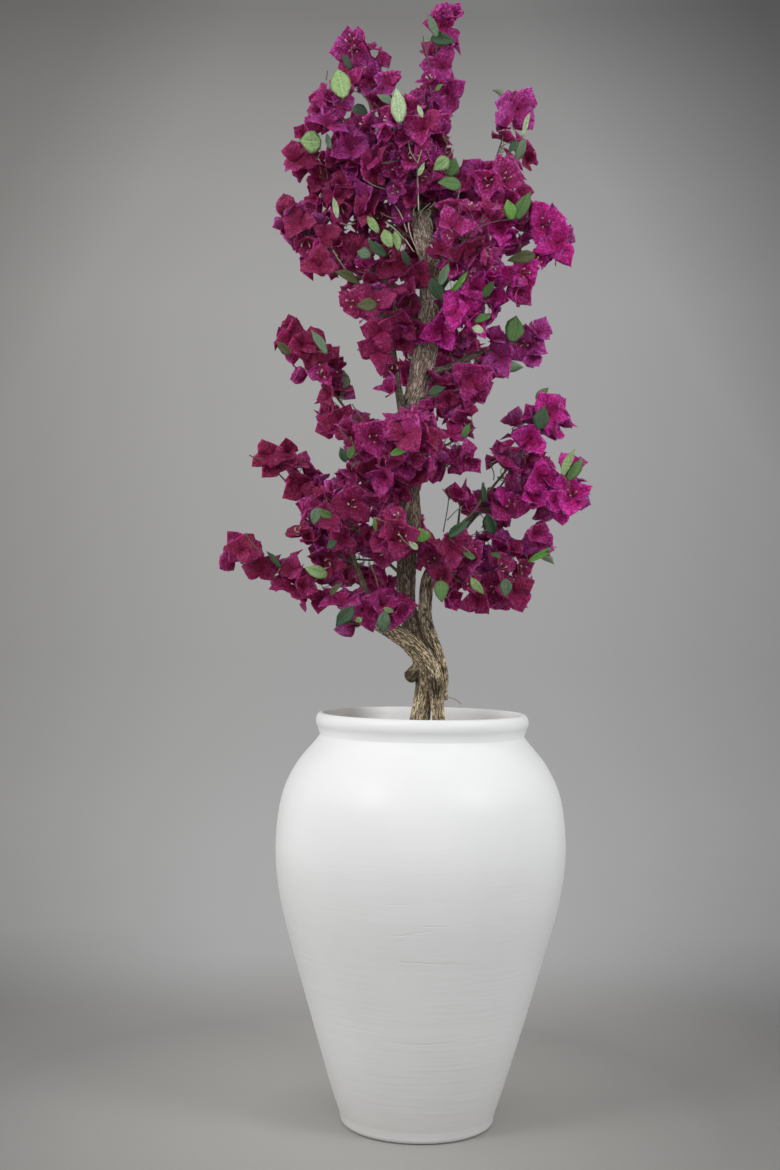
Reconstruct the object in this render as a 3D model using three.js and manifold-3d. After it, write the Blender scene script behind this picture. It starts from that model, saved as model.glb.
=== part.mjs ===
// Artificial bougainvillea tree: silk bracts and leaves on wired twigs, fixed to three natural wood
// stems that stand in a tall white urn planter with its fill.
// Millimetres, +Z up, with the front facing -Y. The origin is the centre of the flat underside.
import * as THREE from 'three';
import { mergeVertices } from 'three/addons/utils/BufferGeometryUtils.js';
import Module from 'manifold-3d';

const wasm = await Module();
wasm.setup();

// Driving dimensions of the planter
const potHeight = 742;
const potBellyRadius = 264;
const potBellyHeight = 501;
const potNeckRadius = 186;
const potNeckHeight = 702;
const potBaseRadius = 139;
const potCorner = 10;
const potWall = 15;
const potFloor = 18;
const rimRadius = 184.6;
const rimRollRadius = 9.4;
const rimRollHalfHeight = 14.5;
const potSides = 32;
const fillTop = 682;

// Driving dimensions of the limbs. Sag is how far the middle of a limb lies below the straight line
// between its ends, as a share of its length.
const stemSides = 10;
const boughSides = 6;
const boughSteps = 3;
const boughSag = 0.04;

// Driving dimensions of a foliage spray. Its side twigs lean away from its stem by twigLean radians,
// and there is one for each areaPerTwig of its length times its spread.
const sprayStemRadius = 5;
const sprayTipRadius = 3.4;
const sprayStemLengths = 4;
const spraySag = 0.04;
const bareStart = 0.2;
const areaPerTwig = 1250;
const fewestTwigs = 4;
const twigRadius = 1.5;
const twigLean = 1.05;
const shortTwig = 0.45;
const tipTwig = 14;
const spaceMargin = 4;

// Driving dimensions of a flower and a leaf. A bract's shoulders and cup are shares of its length.
const bractLength = 52;
const bractShoulder = 0.66;
const bractShoulderTurn = 0.7;
const bractCup = 0.4;
const shoulderCup = 0.14;
const flowerThickness = 8;
const leafLength = 74;
const leafBreadth = 0.49;
const leafFold = 0.05;
const leafBroadest = 0.45;
const leafThickness = 4;
const leafSunk = 6;
const leafEvery = 3;

// Clearance is kept between pieces that touch, and guard is how much larger a flower or a leaf is
// taken to be when its place is tested.
const clearance = 0.3;
const guard = 0.5;
const goldenAngle = Math.PI * (3 - Math.sqrt(5));
const up = new THREE.Vector3(0, 0, 1);

const potWhite = new THREE.MeshStandardMaterial({ color: 0xe9ebea, roughness: 0.55, metalness: 0 });
const pebbleGrey = new THREE.MeshStandardMaterial({ color: 0x8d877c, roughness: 0.9, metalness: 0 });
const bark = new THREE.MeshStandardMaterial({ color: 0x6f6250, roughness: 0.9, metalness: 0 });
const barkThin = new THREE.MeshStandardMaterial({ color: 0x4f4a35, roughness: 0.85, metalness: 0 });
const silk = new THREE.MeshStandardMaterial({ color: 0x8a1060, roughness: 0.8, metalness: 0 });

const tree = new THREE.Group();

function addPiece(name, geometry, material) {
  const piece = new THREE.Mesh(geometry, material);
  piece.name = name;
  tree.add(piece);
}

// Solids that can be joined and cut.

function weld(geometry) {
  geometry.deleteAttribute('normal');
  geometry.deleteAttribute('uv');
  return mergeVertices(geometry, 1e-4);
}

function solidOf(geometry) {
  const welded = weld(geometry);
  const vertProperties = new Float32Array(welded.attributes.position.array);
  const triVerts = new Uint32Array(welded.index.array);
  return new wasm.Manifold(new wasm.Mesh({ numProp: 3, vertProperties, triVerts }));
}

function geometryOf(solid) {
  const mesh = solid.getMesh();
  const geometry = new THREE.BufferGeometry();
  geometry.setAttribute('position', new THREE.BufferAttribute(mesh.vertProperties, 3));
  geometry.setIndex(new THREE.BufferAttribute(mesh.triVerts, 1));
  return geometry;
}

// The largest connected piece: a loose scrap is dropped and a sealed hollow is filled.
function largestPiece(solid) {
  return solid.decompose().reduce((best, piece) => (piece.volume() > best.volume() ? piece : best));
}

// Planter: a hollow urn turned about +Z, with a rolled rim, a short neck, a broad shoulder and a
// taper down to a small flat base with a rounded corner.

const innerWall = [
  [potNeckRadius - potWall, potNeckHeight + 4],
  [potNeckRadius - 3, fillTop],
  [215, 645],
  [potBellyRadius - potWall - 8, 585],
  [potBellyRadius - potWall, potBellyHeight],
  [240, 410],
  [214, 311],
  [179, 194],
  [144, 77],
  [126, potFloor],
].map(([r, z]) => new THREE.Vector2(r, z));

function lathe(profile) {
  const shape = new THREE.LatheGeometry(profile, potSides);
  shape.rotateX(Math.PI / 2);
  return weld(shape);
}

function makePlanter() {
  const cornerRadius = potBaseRadius - potCorner;
  const corner = new THREE.EllipseCurve(cornerRadius, potCorner, potCorner, potCorner, -Math.PI / 2, 0);
  const side = new THREE.SplineCurve([
    [141, 20],
    [160, 77],
    [195, 194],
    [229, 311],
    [255, 413],
    [potBellyRadius, potBellyHeight],
    [254, 589],
    [229, 647],
    [194, 691],
    [potNeckRadius, potNeckHeight],
  ].map(([r, z]) => new THREE.Vector2(r, z)));
  const rim = new THREE.EllipseCurve(
    rimRadius,
    potHeight - rimRollHalfHeight,
    rimRollRadius,
    rimRollHalfHeight,
    -Math.PI / 4,
    Math.PI,
  );
  const profile = [
    new THREE.Vector2(0, 0),
    ...corner.getPoints(2),
    ...side.getPoints(12),
    ...rim.getPoints(6),
    ...innerWall,
    new THREE.Vector2(0, potFloor),
  ];
  addPiece('pot', lathe(profile), potWhite);
}

// Fill: the ballast and its top dressing, which hold the stems' feet.

function makeFill() {
  const wallClearance = 0.4;
  const wall = innerWall.slice(1).reverse();
  const profile = [
    new THREE.Vector2(0, potFloor + clearance),
    ...wall.map((p) => new THREE.Vector2(p.x - wallClearance, Math.max(p.y, potFloor + clearance))),
    new THREE.Vector2(0, fillTop),
  ];
  addPiece('planting_fill', lathe(profile), pebbleGrey);
}

// Limbs: a stem or a bough is one tapering round limb along a smooth line. Each row of a stem's
// line is a centre and the limb's radius there.

const limbs = {};

function addLimb(name, rows, sides, steps) {
  const centres = rows.map(([x, y, z]) => new THREE.Vector3(x, y, z));
  const line = new THREE.CatmullRomCurve3(centres, false, 'catmullrom', 0.5);
  const radii = rows.map((row) => row[3]);
  limbs[name] = { line, radii, sides, steps };
}

function radiusAt(limb, t) {
  const place = t * (limb.radii.length - 1);
  const before = Math.min(Math.floor(place), limb.radii.length - 2);
  return THREE.MathUtils.lerp(limb.radii[before], limb.radii[before + 1], place - before);
}

// The limb's solid, and with `extra` the same solid grown by that much all round.
function limbSolid(limb, extra = 0) {
  const shape = new THREE.CylinderGeometry(1, 1, 1, limb.sides, limb.steps);
  const frames = limb.line.computeFrenetFrames(limb.steps);
  const place = shape.attributes.position;
  for (let i = 0; i < place.count; i++) {
    const step = Math.round((place.getY(i) + 0.5) * limb.steps);
    const t = limb.line.getUtoTmapping(step / limb.steps);
    const radius = radiusAt(limb, t) + extra;
    let end = 0;
    if (step === 0) end = -extra;
    if (step === limb.steps) end = extra;
    const point = limb.line.getPoint(t)
      .addScaledVector(frames.normals[step], place.getX(i) * radius)
      .addScaledVector(frames.binormals[step], -place.getZ(i) * radius)
      .addScaledVector(frames.tangents[step], end);
    place.setXYZ(i, point.x, point.y, point.z);
  }
  return solidOf(shape);
}

addLimb('stem_main', [
  [-9, -4, 664, 22],
  [-4, 4, 735, 17.5],
  [3, 16, 795, 17],
  [-4, 20, 850, 17],
  [-25, 17, 910, 17.5],
  [-32, 8, 970, 18],
  [-32, 3, 1035, 18],
  [-27, 0, 1103, 20],
  [-33, 2, 1187, 18.5],
  [-32, 2, 1268, 19],
  [-16, 0, 1342, 21],
  [-2, 0, 1414, 21],
  [4, 0, 1497, 19],
  [3, 0, 1566, 18],
  [-7, 0, 1610, 19],
  [-19, 0, 1661, 19],
], stemSides, 24);
addLimb('stem_front', [
  [31, -8, 664, 16],
  [29, -11, 735, 13.5],
  [26, -14, 785, 15.5],
  [13, -17, 825, 18],
  [-17, -18, 862, 17.5],
  [-52, -20, 889, 16],
  [-94, -24, 911, 14],
  [-130, -24, 941, 10],
], stemSides, 14);
addLimb('stem_right', [
  [45, -2, 772, 8],
  [41, 4, 802, 11],
  [28, 6, 844, 12.5],
  [11, 6, 890, 13.5],
  [4, 6, 939, 13.5],
  [7, 6, 985, 12.5],
  [25, 4, 1022, 10],
], stemSides, 14);

// The main stem carries the stub of a sawn-off branch low on its left side.
addLimb('stub', [
  [0, 18, 830, 14],
  [-14, 14, 818, 12.5],
  [-25, 10, 806, 11],
], stemSides, 2);

// The stems' feet are cut level at the top of the fill.
const footBlockSize = 400;
const footBlock = new THREE.BoxGeometry(footBlockSize, footBlockSize, footBlockSize);
footBlock.translate(0, 0, fillTop + clearance - footBlockSize / 2);
const footCut = solidOf(footBlock);

const stemSolids = {};
stemSolids.stem_front = limbSolid(limbs.stem_front).subtract(footCut);
stemSolids.stem_main = limbSolid(limbs.stem_main)
  .add(limbSolid(limbs.stub))
  .subtract(footCut)
  .subtract(limbSolid(limbs.stem_front, clearance));
stemSolids.stem_right = limbSolid(limbs.stem_right)
  .subtract(limbSolid(limbs.stem_front, clearance))
  .subtract(limbSolid(limbs.stem_main, clearance));

// The point that lies `length` away from a point, toward a compass bearing from +X and a rise above
// level, both in degrees.
function reachFrom(point, bearing, rise, length) {
  const turn = THREE.MathUtils.degToRad(bearing);
  const lift = THREE.MathUtils.degToRad(rise);
  const level = Math.cos(lift) * length;
  const away = new THREE.Vector3(Math.cos(turn) * level, Math.sin(turn) * level, Math.sin(lift) * length);
  return point.clone().add(away);
}

// Boughs: name, the limb that carries it, how far along that limb, bearing, rise, length, and the
// radius at each end.
const boughRows = [
  ['bough_right_upper', 'stem_main', 0.8, 0, 59, 167, 10, 6],
  ['bough_left_upper', 'stem_main', 0.787, 180, 35, 145, 9, 5.5],
  ['bough_centre_left', 'stem_main', 0.579, -144, 77, 172, 10, 6],
  ['bough_left_mid', 'stem_main', 0.482, 180, 57, 163, 8.5, 5],
  ['bough_left_low', 'stem_front', 0.793, 169, 66, 169, 7, 4.5],
  ['bough_right_low', 'stem_right', 0.96, -3, 55, 150, 9, 5.5],
  ['bough_right_mid', 'stem_main', 0.682, 0, 22, 121, 8.5, 5],
  ['bough_back_upper', 'stem_main', 0.842, 86, 44, 138, 9, 5.5],
  ['bough_back_middle', 'stem_main', 0.66, 81, 20, 148, 10, 6],
  ['bough_back_low', 'stem_main', 0.358, 94, 27, 129, 9, 5.5],
  ['bough_front_upper', 'stem_main', 0.813, -71, 21, 114, 8, 5],
  ['bough_front_low', 'stem_main', 0.382, -102, 21, 103, 8, 5],
];
for (const [name, carrier, along, bearing, rise, length, thick, thin] of boughRows) {
  const root = limbs[carrier].line.getPoint(along);
  const tip = reachFrom(root, bearing, rise, length);
  const middle = root.clone().lerp(tip, 0.5).addScaledVector(up, -boughSag * length);
  const rows = [
    [...root.toArray(), thick],
    [...middle.toArray(), (thick + thin) / 2],
    [...tip.toArray(), thin],
  ];
  addLimb(name, rows, boughSides, boughSteps);
}

// Each bough is cut to the surface of the stem that carries it.
const limbSolids = { ...stemSolids };
for (const [name] of boughRows) {
  const whole = limbSolid(limbs[name]);
  const stems = Object.keys(stemSolids).map((stem) => limbSolid(limbs[stem], clearance));
  limbSolids[name] = largestPiece(stems.reduce((rest, stem) => rest.subtract(stem), whole));
}

// Seeded dice, the same on every run.
function dice(seed) {
  let state = (seed * 7919 + 17) % 2147483647;
  return () => {
    state = (state * 48271) % 2147483647;
    return state / 2147483647;
  };
}

// Foliage sprays: name, the limb that carries it, how far along that limb, bearing, rise, length
// of the spray's own stem, and how far its side twigs spread.
const sprayRows = [
  ['spray_top', 'stem_main', 0.99, 0, 85, 345, 42],
  ['spray_upper_left_tip', 'stem_main', 0.955, 172, 67, 335, 40],
  ['spray_upper_left', 'stem_main', 0.94, -163, 51, 290, 60],
  ['spray_upper_left_out', 'stem_main', 0.91, 176, 34, 275, 60],
  ['spray_crown_front', 'stem_main', 0.98, -106, 41, 206, 70],
  ['spray_crown_back', 'stem_main', 0.96, 92, 59, 313, 70],
  ['spray_crown_right', 'stem_main', 0.93, -37, 75, 180, 50],
  ['spray_right_tip', 'bough_right_upper', 0.75, 6, 72, 260, 36],
  ['spray_right_upper', 'bough_right_upper', 0.9, -62, 43, 124, 60],
  ['spray_right_far', 'bough_right_upper', 1, 0, -7, 138, 58],
  ['spray_right_upper_back', 'bough_back_upper', 0.6, 55, 20, 160, 68],
  ['spray_back_upper', 'bough_back_upper', 1, 100, 20, 150, 72],
  ['spray_front_upper', 'bough_front_upper', 1, -78, 9, 124, 70],
  ['spray_left_mid', 'bough_left_upper', 1, 180, 27, 150, 55],
  ['spray_left_mid_low', 'bough_left_upper', 0.7, -155, 0, 105, 40],
  ['spray_centre_left', 'stem_main', 0.77, -145, 1, 174, 62],
  ['spray_centre_left_back', 'stem_main', 0.75, 124, 26, 255, 70],
  ['spray_centre_left_low', 'bough_centre_left', 1, -147, -12, 75, 58],
  ['spray_centre_right', 'stem_main', 0.74, -32, 37, 165, 60],
  ['spray_right_mid', 'bough_right_mid', 1, 0, 15, 95, 44],
  ['spray_right_mid_low', 'stem_main', 0.64, -26, 12, 142, 46],
  ['spray_back_middle', 'bough_back_middle', 1, 89, 24, 165, 75],
  ['spray_back_right', 'bough_back_middle', 0.6, 39, 15, 176, 68],
  ['spray_left', 'bough_left_mid', 1, 180, 53, 215, 46],
  ['spray_mid_left', 'stem_main', 0.5, -131, 21, 171, 66],
  ['spray_mid_front', 'stem_main', 0.52, -94, 16, 221, 70],
  ['spray_centre_right_low', 'stem_main', 0.54, -19, 27, 145, 52],
  ['spray_left_back', 'stem_main', 0.55, 123, 16, 232, 68],
  ['spray_left_low', 'bough_left_low', 1, 177, 44, 198, 44],
  ['spray_left_low_inner', 'bough_left_low', 0.75, -167, 25, 100, 38],
  ['spray_low_left', 'stem_main', 0.35, -138, 36, 213, 66],
  ['spray_low_front', 'bough_front_low', 1, -89, 6, 121, 62],
  ['spray_lowest_left', 'stem_front', 1, -179, 19, 215, 42],
  ['spray_lower_left_hang', 'stem_front', 0.83, -122, 0, 102, 48],
  ['spray_back_low', 'bough_back_low', 1, 88, 32, 178, 75],
  ['spray_back_low_left', 'bough_back_low', 0.6, 139, 2, 176, 64],
  ['spray_right_low', 'stem_right', 1, 2, 6, 170, 50],
  ['spray_right_low_front', 'stem_right', 0.88, -75, 16, 178, 60],
  ['spray_right_low_hang', 'bough_right_low', 0.3, -19, -38, 135, 42],
  ['spray_right_high', 'bough_right_low', 1, 0, 53, 196, 50],
  ['spray_right_out', 'bough_right_low', 0.85, -12, 7, 165, 50],
  ['spray_right_back', 'bough_right_low', 0.5, 56, 35, 263, 66],
  ['spray_small_sprig', 'bough_right_low', 0.45, -75, 74, 85, 24],
];

const sprays = sprayRows.map(([name, carrier, along, bearing, rise, length, spread], index) => {
  const root = limbs[carrier].line.getPoint(along);
  const tip = reachFrom(root, bearing, rise, length);
  const middle = root.clone().lerp(tip, 0.5).addScaledVector(up, -spraySag * length);
  const line = new THREE.QuadraticBezierCurve3(root, middle, tip);
  return { name, index, line, length, spread, solids: [] };
});

function solidFrom(points, faces) {
  const shape = new THREE.BufferGeometry().setFromPoints(points);
  shape.setIndex(faces);
  return solidOf(shape);
}

// Axes of a piece that faces one way and is rolled about that way.
function facingAxes(facing, roll) {
  const reference = Math.abs(facing.z) > 0.9 ? new THREE.Vector3(1, 0, 0) : up;
  const side = facing.clone().cross(reference).normalize();
  const over = facing.clone().cross(side);
  const turned = side.clone().multiplyScalar(Math.cos(roll)).addScaledVector(over, Math.sin(roll));
  return { side: turned, over: facing.clone().cross(turned), facing };
}

function placed(centre, axes, x, y, z) {
  return centre.clone()
    .addScaledVector(axes.side, x)
    .addScaledVector(axes.over, y)
    .addScaledVector(axes.facing, z);
}

// Three corners round a point, the section of every twig.
function twigSection(point, axes, radius) {
  return [0, 1, 2].map((side) => {
    const turn = side * Math.PI * 2 / 3;
    return placed(point, axes, Math.cos(turn) * radius, Math.sin(turn) * radius, 0);
  });
}

// Faces between one three-cornered section and the next.
function twigSides(first) {
  return [0, 1, 2].flatMap((side) => {
    const here = first + side;
    const beside = first + (side + 1) % 3;
    return [here, beside, beside + 3, here, beside + 3, here + 3];
  });
}

// Twig: a three-sided prism that tapers along a row of points.
function twigSolid(points, thick, thin) {
  const last = points.length - 1;
  const corners = points.flatMap((point, row) => {
    const along = points[Math.min(row + 1, last)].clone().sub(points[Math.max(row - 1, 0)]).normalize();
    return twigSection(point, facingAxes(along, 0), THREE.MathUtils.lerp(thick, thin, row / last));
  });
  const sides = points.slice(1).flatMap((_, row) => twigSides(row * 3));
  const end = last * 3;
  return solidFrom(corners, [...sides, 2, 1, 0, end, end + 1, end + 2]);
}

// Flower on its twig: three pointed silk bracts in a shallow cup, as one star with a thick middle
// whose back runs into the three-sided twig.
function flowerSolid(from, centre, facing, roll, size, extra = 0) {
  const axes = facingAxes(facing, roll);
  const thick = twigRadius + extra;
  const outline = [];
  const addPoint = (angle, radius, rise) => {
    outline.push(placed(centre, axes, Math.cos(angle) * radius, Math.sin(angle) * radius, rise));
  };
  for (let bract = 0; bract < 3; bract++) {
    const middle = bract * Math.PI * 2 / 3;
    addPoint(middle - bractShoulderTurn, size * bractShoulder + extra, size * shoulderCup);
    addPoint(middle, size + extra, size * bractCup);
    addPoint(middle + bractShoulderTurn, size * bractShoulder + extra, size * shoulderCup);
  }
  const half = flowerThickness / 2 + extra;
  const back = twigSection(placed(centre, axes, 0, 0, -half), axes, thick);
  const along = centre.clone().sub(from).normalize();
  const start = facingAxes(along, 0);
  // The root's corners are turned in line with the back's, so that the twig isn't twisted.
  const lean = back[0].clone().sub(centre);
  const turn = Math.atan2(lean.dot(start.over), lean.dot(start.side));
  const root = twigSection(from, facingAxes(along, turn), thick);
  const points = [...root, ...back, ...outline, placed(centre, axes, 0, 0, half)];
  const rim = 6;
  const front = rim + outline.length;
  const faces = [2, 1, 0, ...twigSides(0)];
  outline.forEach((_, i) => {
    const next = (i + 1) % outline.length;
    const corner = 3 + Math.floor(i / 3);
    faces.push(rim + i, rim + next, front);
    faces.push(rim + next, rim + i, corner);
    if (i % 3 === 2) faces.push(corner, 3 + (Math.floor(i / 3) + 1) % 3, rim + next);
  });
  return solidFrom(points, faces);
}

// Leaf: a pointed oval, folded a little along its rib.
function leafSolid(root, along, roll, size, extra = 0) {
  const axes = facingAxes(along, roll);
  const broad = size * leafBreadth / 2 + extra;
  const outline = [
    placed(root, axes, 0, 0, -leafSunk - extra),
    placed(root, axes, broad, size * leafFold, size * leafBroadest),
    placed(root, axes, 0, 0, size + extra),
    placed(root, axes, -broad, size * leafFold, size * leafBroadest),
  ];
  const half = leafThickness / 2 + extra;
  const ridges = [-half, half].map((offset) => placed(root, axes, 0, offset, size * leafBroadest));
  const faces = outline.flatMap((_, i) => {
    const next = (i + 1) % outline.length;
    return [i, next, outline.length, next, i, outline.length + 1];
  });
  return solidFrom([...outline, ...ridges], faces);
}

function distanceToLine(line, point) {
  const steps = 16;
  return Math.min(...line.getPoints(steps).map((place) => place.distanceTo(point)));
}

// A spray's own space is what lies nearer to its stem than to the stem of any other spray.
function inOwnSpace(spray, point) {
  const own = distanceToLine(spray.line, point);
  return sprays.every((other) => other === spray || distanceToLine(other.line, point) > own + spaceMargin);
}

const taken = [];

function take(spray, kind, solid, centre, radius) {
  spray.solids.push(solid);
  taken.push({ spray, kind, solid, centre, radius });
}

// True where a piece, given a little larger than it is, touches no limb, no other spray and no
// flower or leaf of its own spray.
function isClear(spray, solid, centre, radius) {
  const near = taken.filter((item) => item.spray !== spray || item.kind === 'bloom')
    .filter((item) => item.centre.distanceTo(centre) < item.radius + radius);
  if (near.some((item) => !solid.intersect(item.solid).isEmpty())) return false;
  return Object.values(limbSolids).every((limb) => solid.intersect(limb).isEmpty());
}

// The spray's stem, three-sided along its line, cut to the surface of its limb.
function growStem(spray) {
  const whole = twigSolid(spray.line.getPoints(sprayStemLengths), sprayStemRadius, sprayTipRadius);
  const trimmed = Object.values(limbs).reduce((rest, limb) => rest.subtract(limbSolid(limb, clearance)), whole);
  take(spray, 'twig', largestPiece(trimmed), spray.line.getPoint(0.5), spray.length / 2 + sprayStemRadius);
}

// The direction that mixes several others, each with its weight.
function mixed(...parts) {
  const sum = new THREE.Vector3();
  parts.forEach(([direction, weight]) => sum.addScaledVector(direction, weight));
  return sum.normalize();
}

// Side twigs leave the stem at the golden angle, each with a flower on its end. They are longest in
// the middle of the spray, and every second one is short. A leaf stands half a step further on.
function planTwigs(spray) {
  const roll = dice(spray.index + 1);
  const count = Math.max(fewestTwigs, Math.round(spray.length * spray.spread / areaPerTwig));
  const phase = roll() * Math.PI * 2;
  const step = (1 - bareStart) / count;
  return Array.from({ length: count }, (_, k) => {
    const u = bareStart + step * (k + 0.4);
    const from = spray.line.getPoint(u);
    const tangent = spray.line.getTangent(u);
    const outward = facingAxes(tangent, phase + k * goldenAngle).side;
    const swell = 0.5 + 0.5 * Math.sin(Math.PI * (u - bareStart) / (1 - bareStart));
    const length = spray.spread * swell * (k % 2 ? shortTwig : 1) * (0.8 + 0.4 * roll());
    const to = from.clone()
      .addScaledVector(tangent, Math.cos(twigLean) * length)
      .addScaledVector(outward, Math.sin(twigLean) * length);
    const jitter = new THREE.Vector3(roll() - 0.5, roll() - 0.5, roll() - 0.5);
    const aim = mixed([outward, 0.7], [tangent, 0.45], [up, 0.2], [jitter, 0.8]);
    const spin = roll() * Math.PI * 2;
    const size = 0.85 + 0.3 * roll();
    const leafRoot = spray.line.getPoint(u + step / 2);
    const leafAlong = mixed([tangent, 1], [outward, -0.9]);
    return { from, to, aim, spin, size, leafRoot, leafAlong };
  });
}

// A twig with a flower on its end, left out where it would leave the spray's space or touch
// anything. The flower never turns so far from its twig that the twig would cut its bracts.
function tryFlower(spray, from, to, aim, spin, size) {
  const leastFacing = 0.6;
  const along = to.clone().sub(from).normalize();
  const facing = mixed([aim, 1], [along, Math.max(0, leastFacing - aim.dot(along))]);
  const radius = bractLength * size;
  const middle = from.clone().lerp(to, 0.6);
  const reach = radius * 1.1 + from.distanceTo(to) / 2;
  if (!inOwnSpace(spray, to)) return;
  if (!isClear(spray, flowerSolid(from, to, facing, spin, radius, guard), middle, reach)) return;
  take(spray, 'bloom', flowerSolid(from, to, facing, spin, radius), middle, reach);
}

function tryLeaf(spray, root, along, spin, size) {
  const centre = root.clone().addScaledVector(along, size * 0.4);
  const reach = size * 0.75;
  if (!inOwnSpace(spray, centre)) return;
  if (!isClear(spray, leafSolid(root, along, spin, size, guard), centre, reach)) return;
  take(spray, 'bloom', leafSolid(root, along, spin, size), centre, reach);
}

// Stems come first, then a flower on each tip, the flowers of all sprays in turn, and the leaves.
sprays.forEach(growStem);
for (const spray of sprays) {
  const end = spray.line.getTangent(1);
  const aim = mixed([end, 1], [facingAxes(end, spray.index).side, 0.8]);
  const beyond = spray.line.getPoint(1).addScaledVector(end, tipTwig);
  tryFlower(spray, spray.line.getPoint(0.96), beyond, aim, spray.index, 0.9);
}
const plans = sprays.map(planTwigs);
const mostTwigs = Math.max(...plans.map((list) => list.length));
for (let k = 0; k < mostTwigs; k++) {
  sprays.forEach((spray, i) => {
    const twig = plans[i][k];
    if (twig) tryFlower(spray, twig.from, twig.to, twig.aim, twig.spin, twig.size);
  });
}
for (let k = 0; k < mostTwigs; k += leafEvery) {
  sprays.forEach((spray, i) => {
    const twig = plans[i][k];
    if (twig) tryLeaf(spray, twig.leafRoot, twig.leafAlong, twig.spin, leafLength * twig.size);
  });
}

makePlanter();
makeFill();
for (const [name, solid] of Object.entries(limbSolids)) {
  addPiece(name, geometryOf(largestPiece(solid)), name.startsWith('stem') ? bark : barkThin);
}
for (const spray of sprays) {
  const whole = spray.solids.reduce((sum, part) => sum.add(part));
  addPiece(spray.name, geometryOf(largestPiece(whole)), silk);
}

export default tree;
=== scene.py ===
import math

import bmesh
import bpy
import numpy as np
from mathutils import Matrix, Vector, noise


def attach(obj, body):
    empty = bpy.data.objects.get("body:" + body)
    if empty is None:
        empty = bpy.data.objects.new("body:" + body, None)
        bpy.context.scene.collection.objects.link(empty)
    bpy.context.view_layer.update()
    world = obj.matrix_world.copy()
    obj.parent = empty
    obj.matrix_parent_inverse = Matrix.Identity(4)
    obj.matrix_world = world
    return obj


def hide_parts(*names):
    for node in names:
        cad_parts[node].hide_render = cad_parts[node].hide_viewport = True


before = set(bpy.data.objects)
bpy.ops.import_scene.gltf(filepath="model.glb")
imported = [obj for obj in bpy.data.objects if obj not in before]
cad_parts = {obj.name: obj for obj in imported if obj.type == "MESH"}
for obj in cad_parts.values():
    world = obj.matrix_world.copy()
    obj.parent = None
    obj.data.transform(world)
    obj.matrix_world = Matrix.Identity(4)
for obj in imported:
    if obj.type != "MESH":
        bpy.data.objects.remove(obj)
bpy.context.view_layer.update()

mm = 0.001

# Planter. A tall hollow urn with a rolled rim, a short neck and a small base, cast in one piece.
# It is painted matt white by brush and roller, which left fine lines round it, and a few dents.


class Shade:
    """A value or a colour in a material. Python's own signs add the nodes that work it out."""

    def __init__(self, socket):
        self.socket = socket

    def node(self, kind, settings, sockets, output=0):
        tree = self.socket.id_data
        made = tree.nodes.new(kind)
        for name, value in settings.items():
            if name == "stops":
                bands = made.color_ramp.elements
                for place, grey in value[1:-1]:
                    bands.new(place)
                for band, (place, grey) in zip(bands, value):
                    band.position, band.color = place, (grey, grey, grey, 1)
            else:
                setattr(made, name, value)
        for name, value in sockets.items():
            if isinstance(value, Shade):
                tree.links.new(value.socket, made.inputs[name])
            else:
                made.inputs[name].default_value = value
        return Shade(made.outputs[output])

    def maths(self, operation, *values):
        return self.node("ShaderNodeMath", {"operation": operation}, dict(enumerate(values)))

    def __add__(self, other):
        return self.maths("ADD", self, other)

    def __radd__(self, other):
        return self.maths("ADD", other, self)

    def __sub__(self, other):
        return self.maths("SUBTRACT", self, other)

    def __rsub__(self, other):
        return self.maths("SUBTRACT", other, self)

    def __mul__(self, other):
        return self.maths("MULTIPLY", self, other)

    def __rmul__(self, other):
        return self.maths("MULTIPLY", other, self)

    def __lt__(self, other):
        return self.maths("LESS_THAN", self, other)

    def __gt__(self, other):
        return self.maths("GREATER_THAN", self, other)

    def __abs__(self):
        return self.maths("ABSOLUTE", self)


def new_finish(name, base_colour, roughness, steady=()):
    """A material, its shader, and the piece's own coordinates to lay a pattern by."""
    material = bpy.data.materials.new(name)
    material.use_nodes = True
    shader = material.node_tree.nodes["Principled BSDF"]
    shader.inputs["Base Color"].default_value = (*base_colour, 1)
    shader.inputs["Roughness"].default_value = roughness
    for socket, value in dict(steady).items():
        shader.inputs[socket].default_value = value
    place = Shade(material.node_tree.nodes.new("ShaderNodeTexCoord").outputs["Object"])
    return material, shader, place


def lay(shader, patterns):
    for socket, pattern in patterns.items():
        shader.id_data.links.new(pattern.socket, shader.inputs[socket])


def stretched(place, x, y, z):
    return place.node("ShaderNodeVectorMath", {"operation": "MULTIPLY"}, {0: place, 1: (x, y, z)})


def cloudy(place, scale, detail=2.0):
    return place.node("ShaderNodeTexNoise", {}, {"Vector": place, "Scale": scale, "Detail": detail})


def blended(share, one, other, way="MIX"):
    one, other = (tone if isinstance(tone, Shade) else (*tone, 1) for tone in (one, other))
    settings = {"data_type": "RGBA", "blend_type": way}
    return share.node("ShaderNodeMix", settings, {0: share, 6: one, 7: other}, 2)


def relief(height, depth, strength=1.0):
    sockets = {"Strength": strength, "Distance": depth, "Height": height}
    return height.node("ShaderNodeBump", {}, sockets)


def part_of(vector, axis):
    return vector.node("ShaderNodeSeparateXYZ", {}, {0: vector}, axis)


def between(value, low, high, least=0.0, most=1.0, smooth=False):
    """The least where a value is low, the most where it is high, and even or smooth between."""
    settings = {"interpolation_type": "SMOOTHSTEP"} if smooth else {}
    sockets = {"Value": value, 1: low, 2: high, 3: least, 4: most}
    return value.node("ShaderNodeMapRange", settings, sockets)


def keep_piece(name, mesh, materials, nodes=()):
    """Puts a finished mesh in the scene as a piece of the tree."""
    piece = bpy.data.objects.new(name, mesh)
    bpy.context.scene.collection.objects.link(piece)
    for material in materials:
        mesh.materials.append(material)
    mesh.shade_smooth()
    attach(piece, "root")
    if nodes:
        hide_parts(*nodes)


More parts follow.
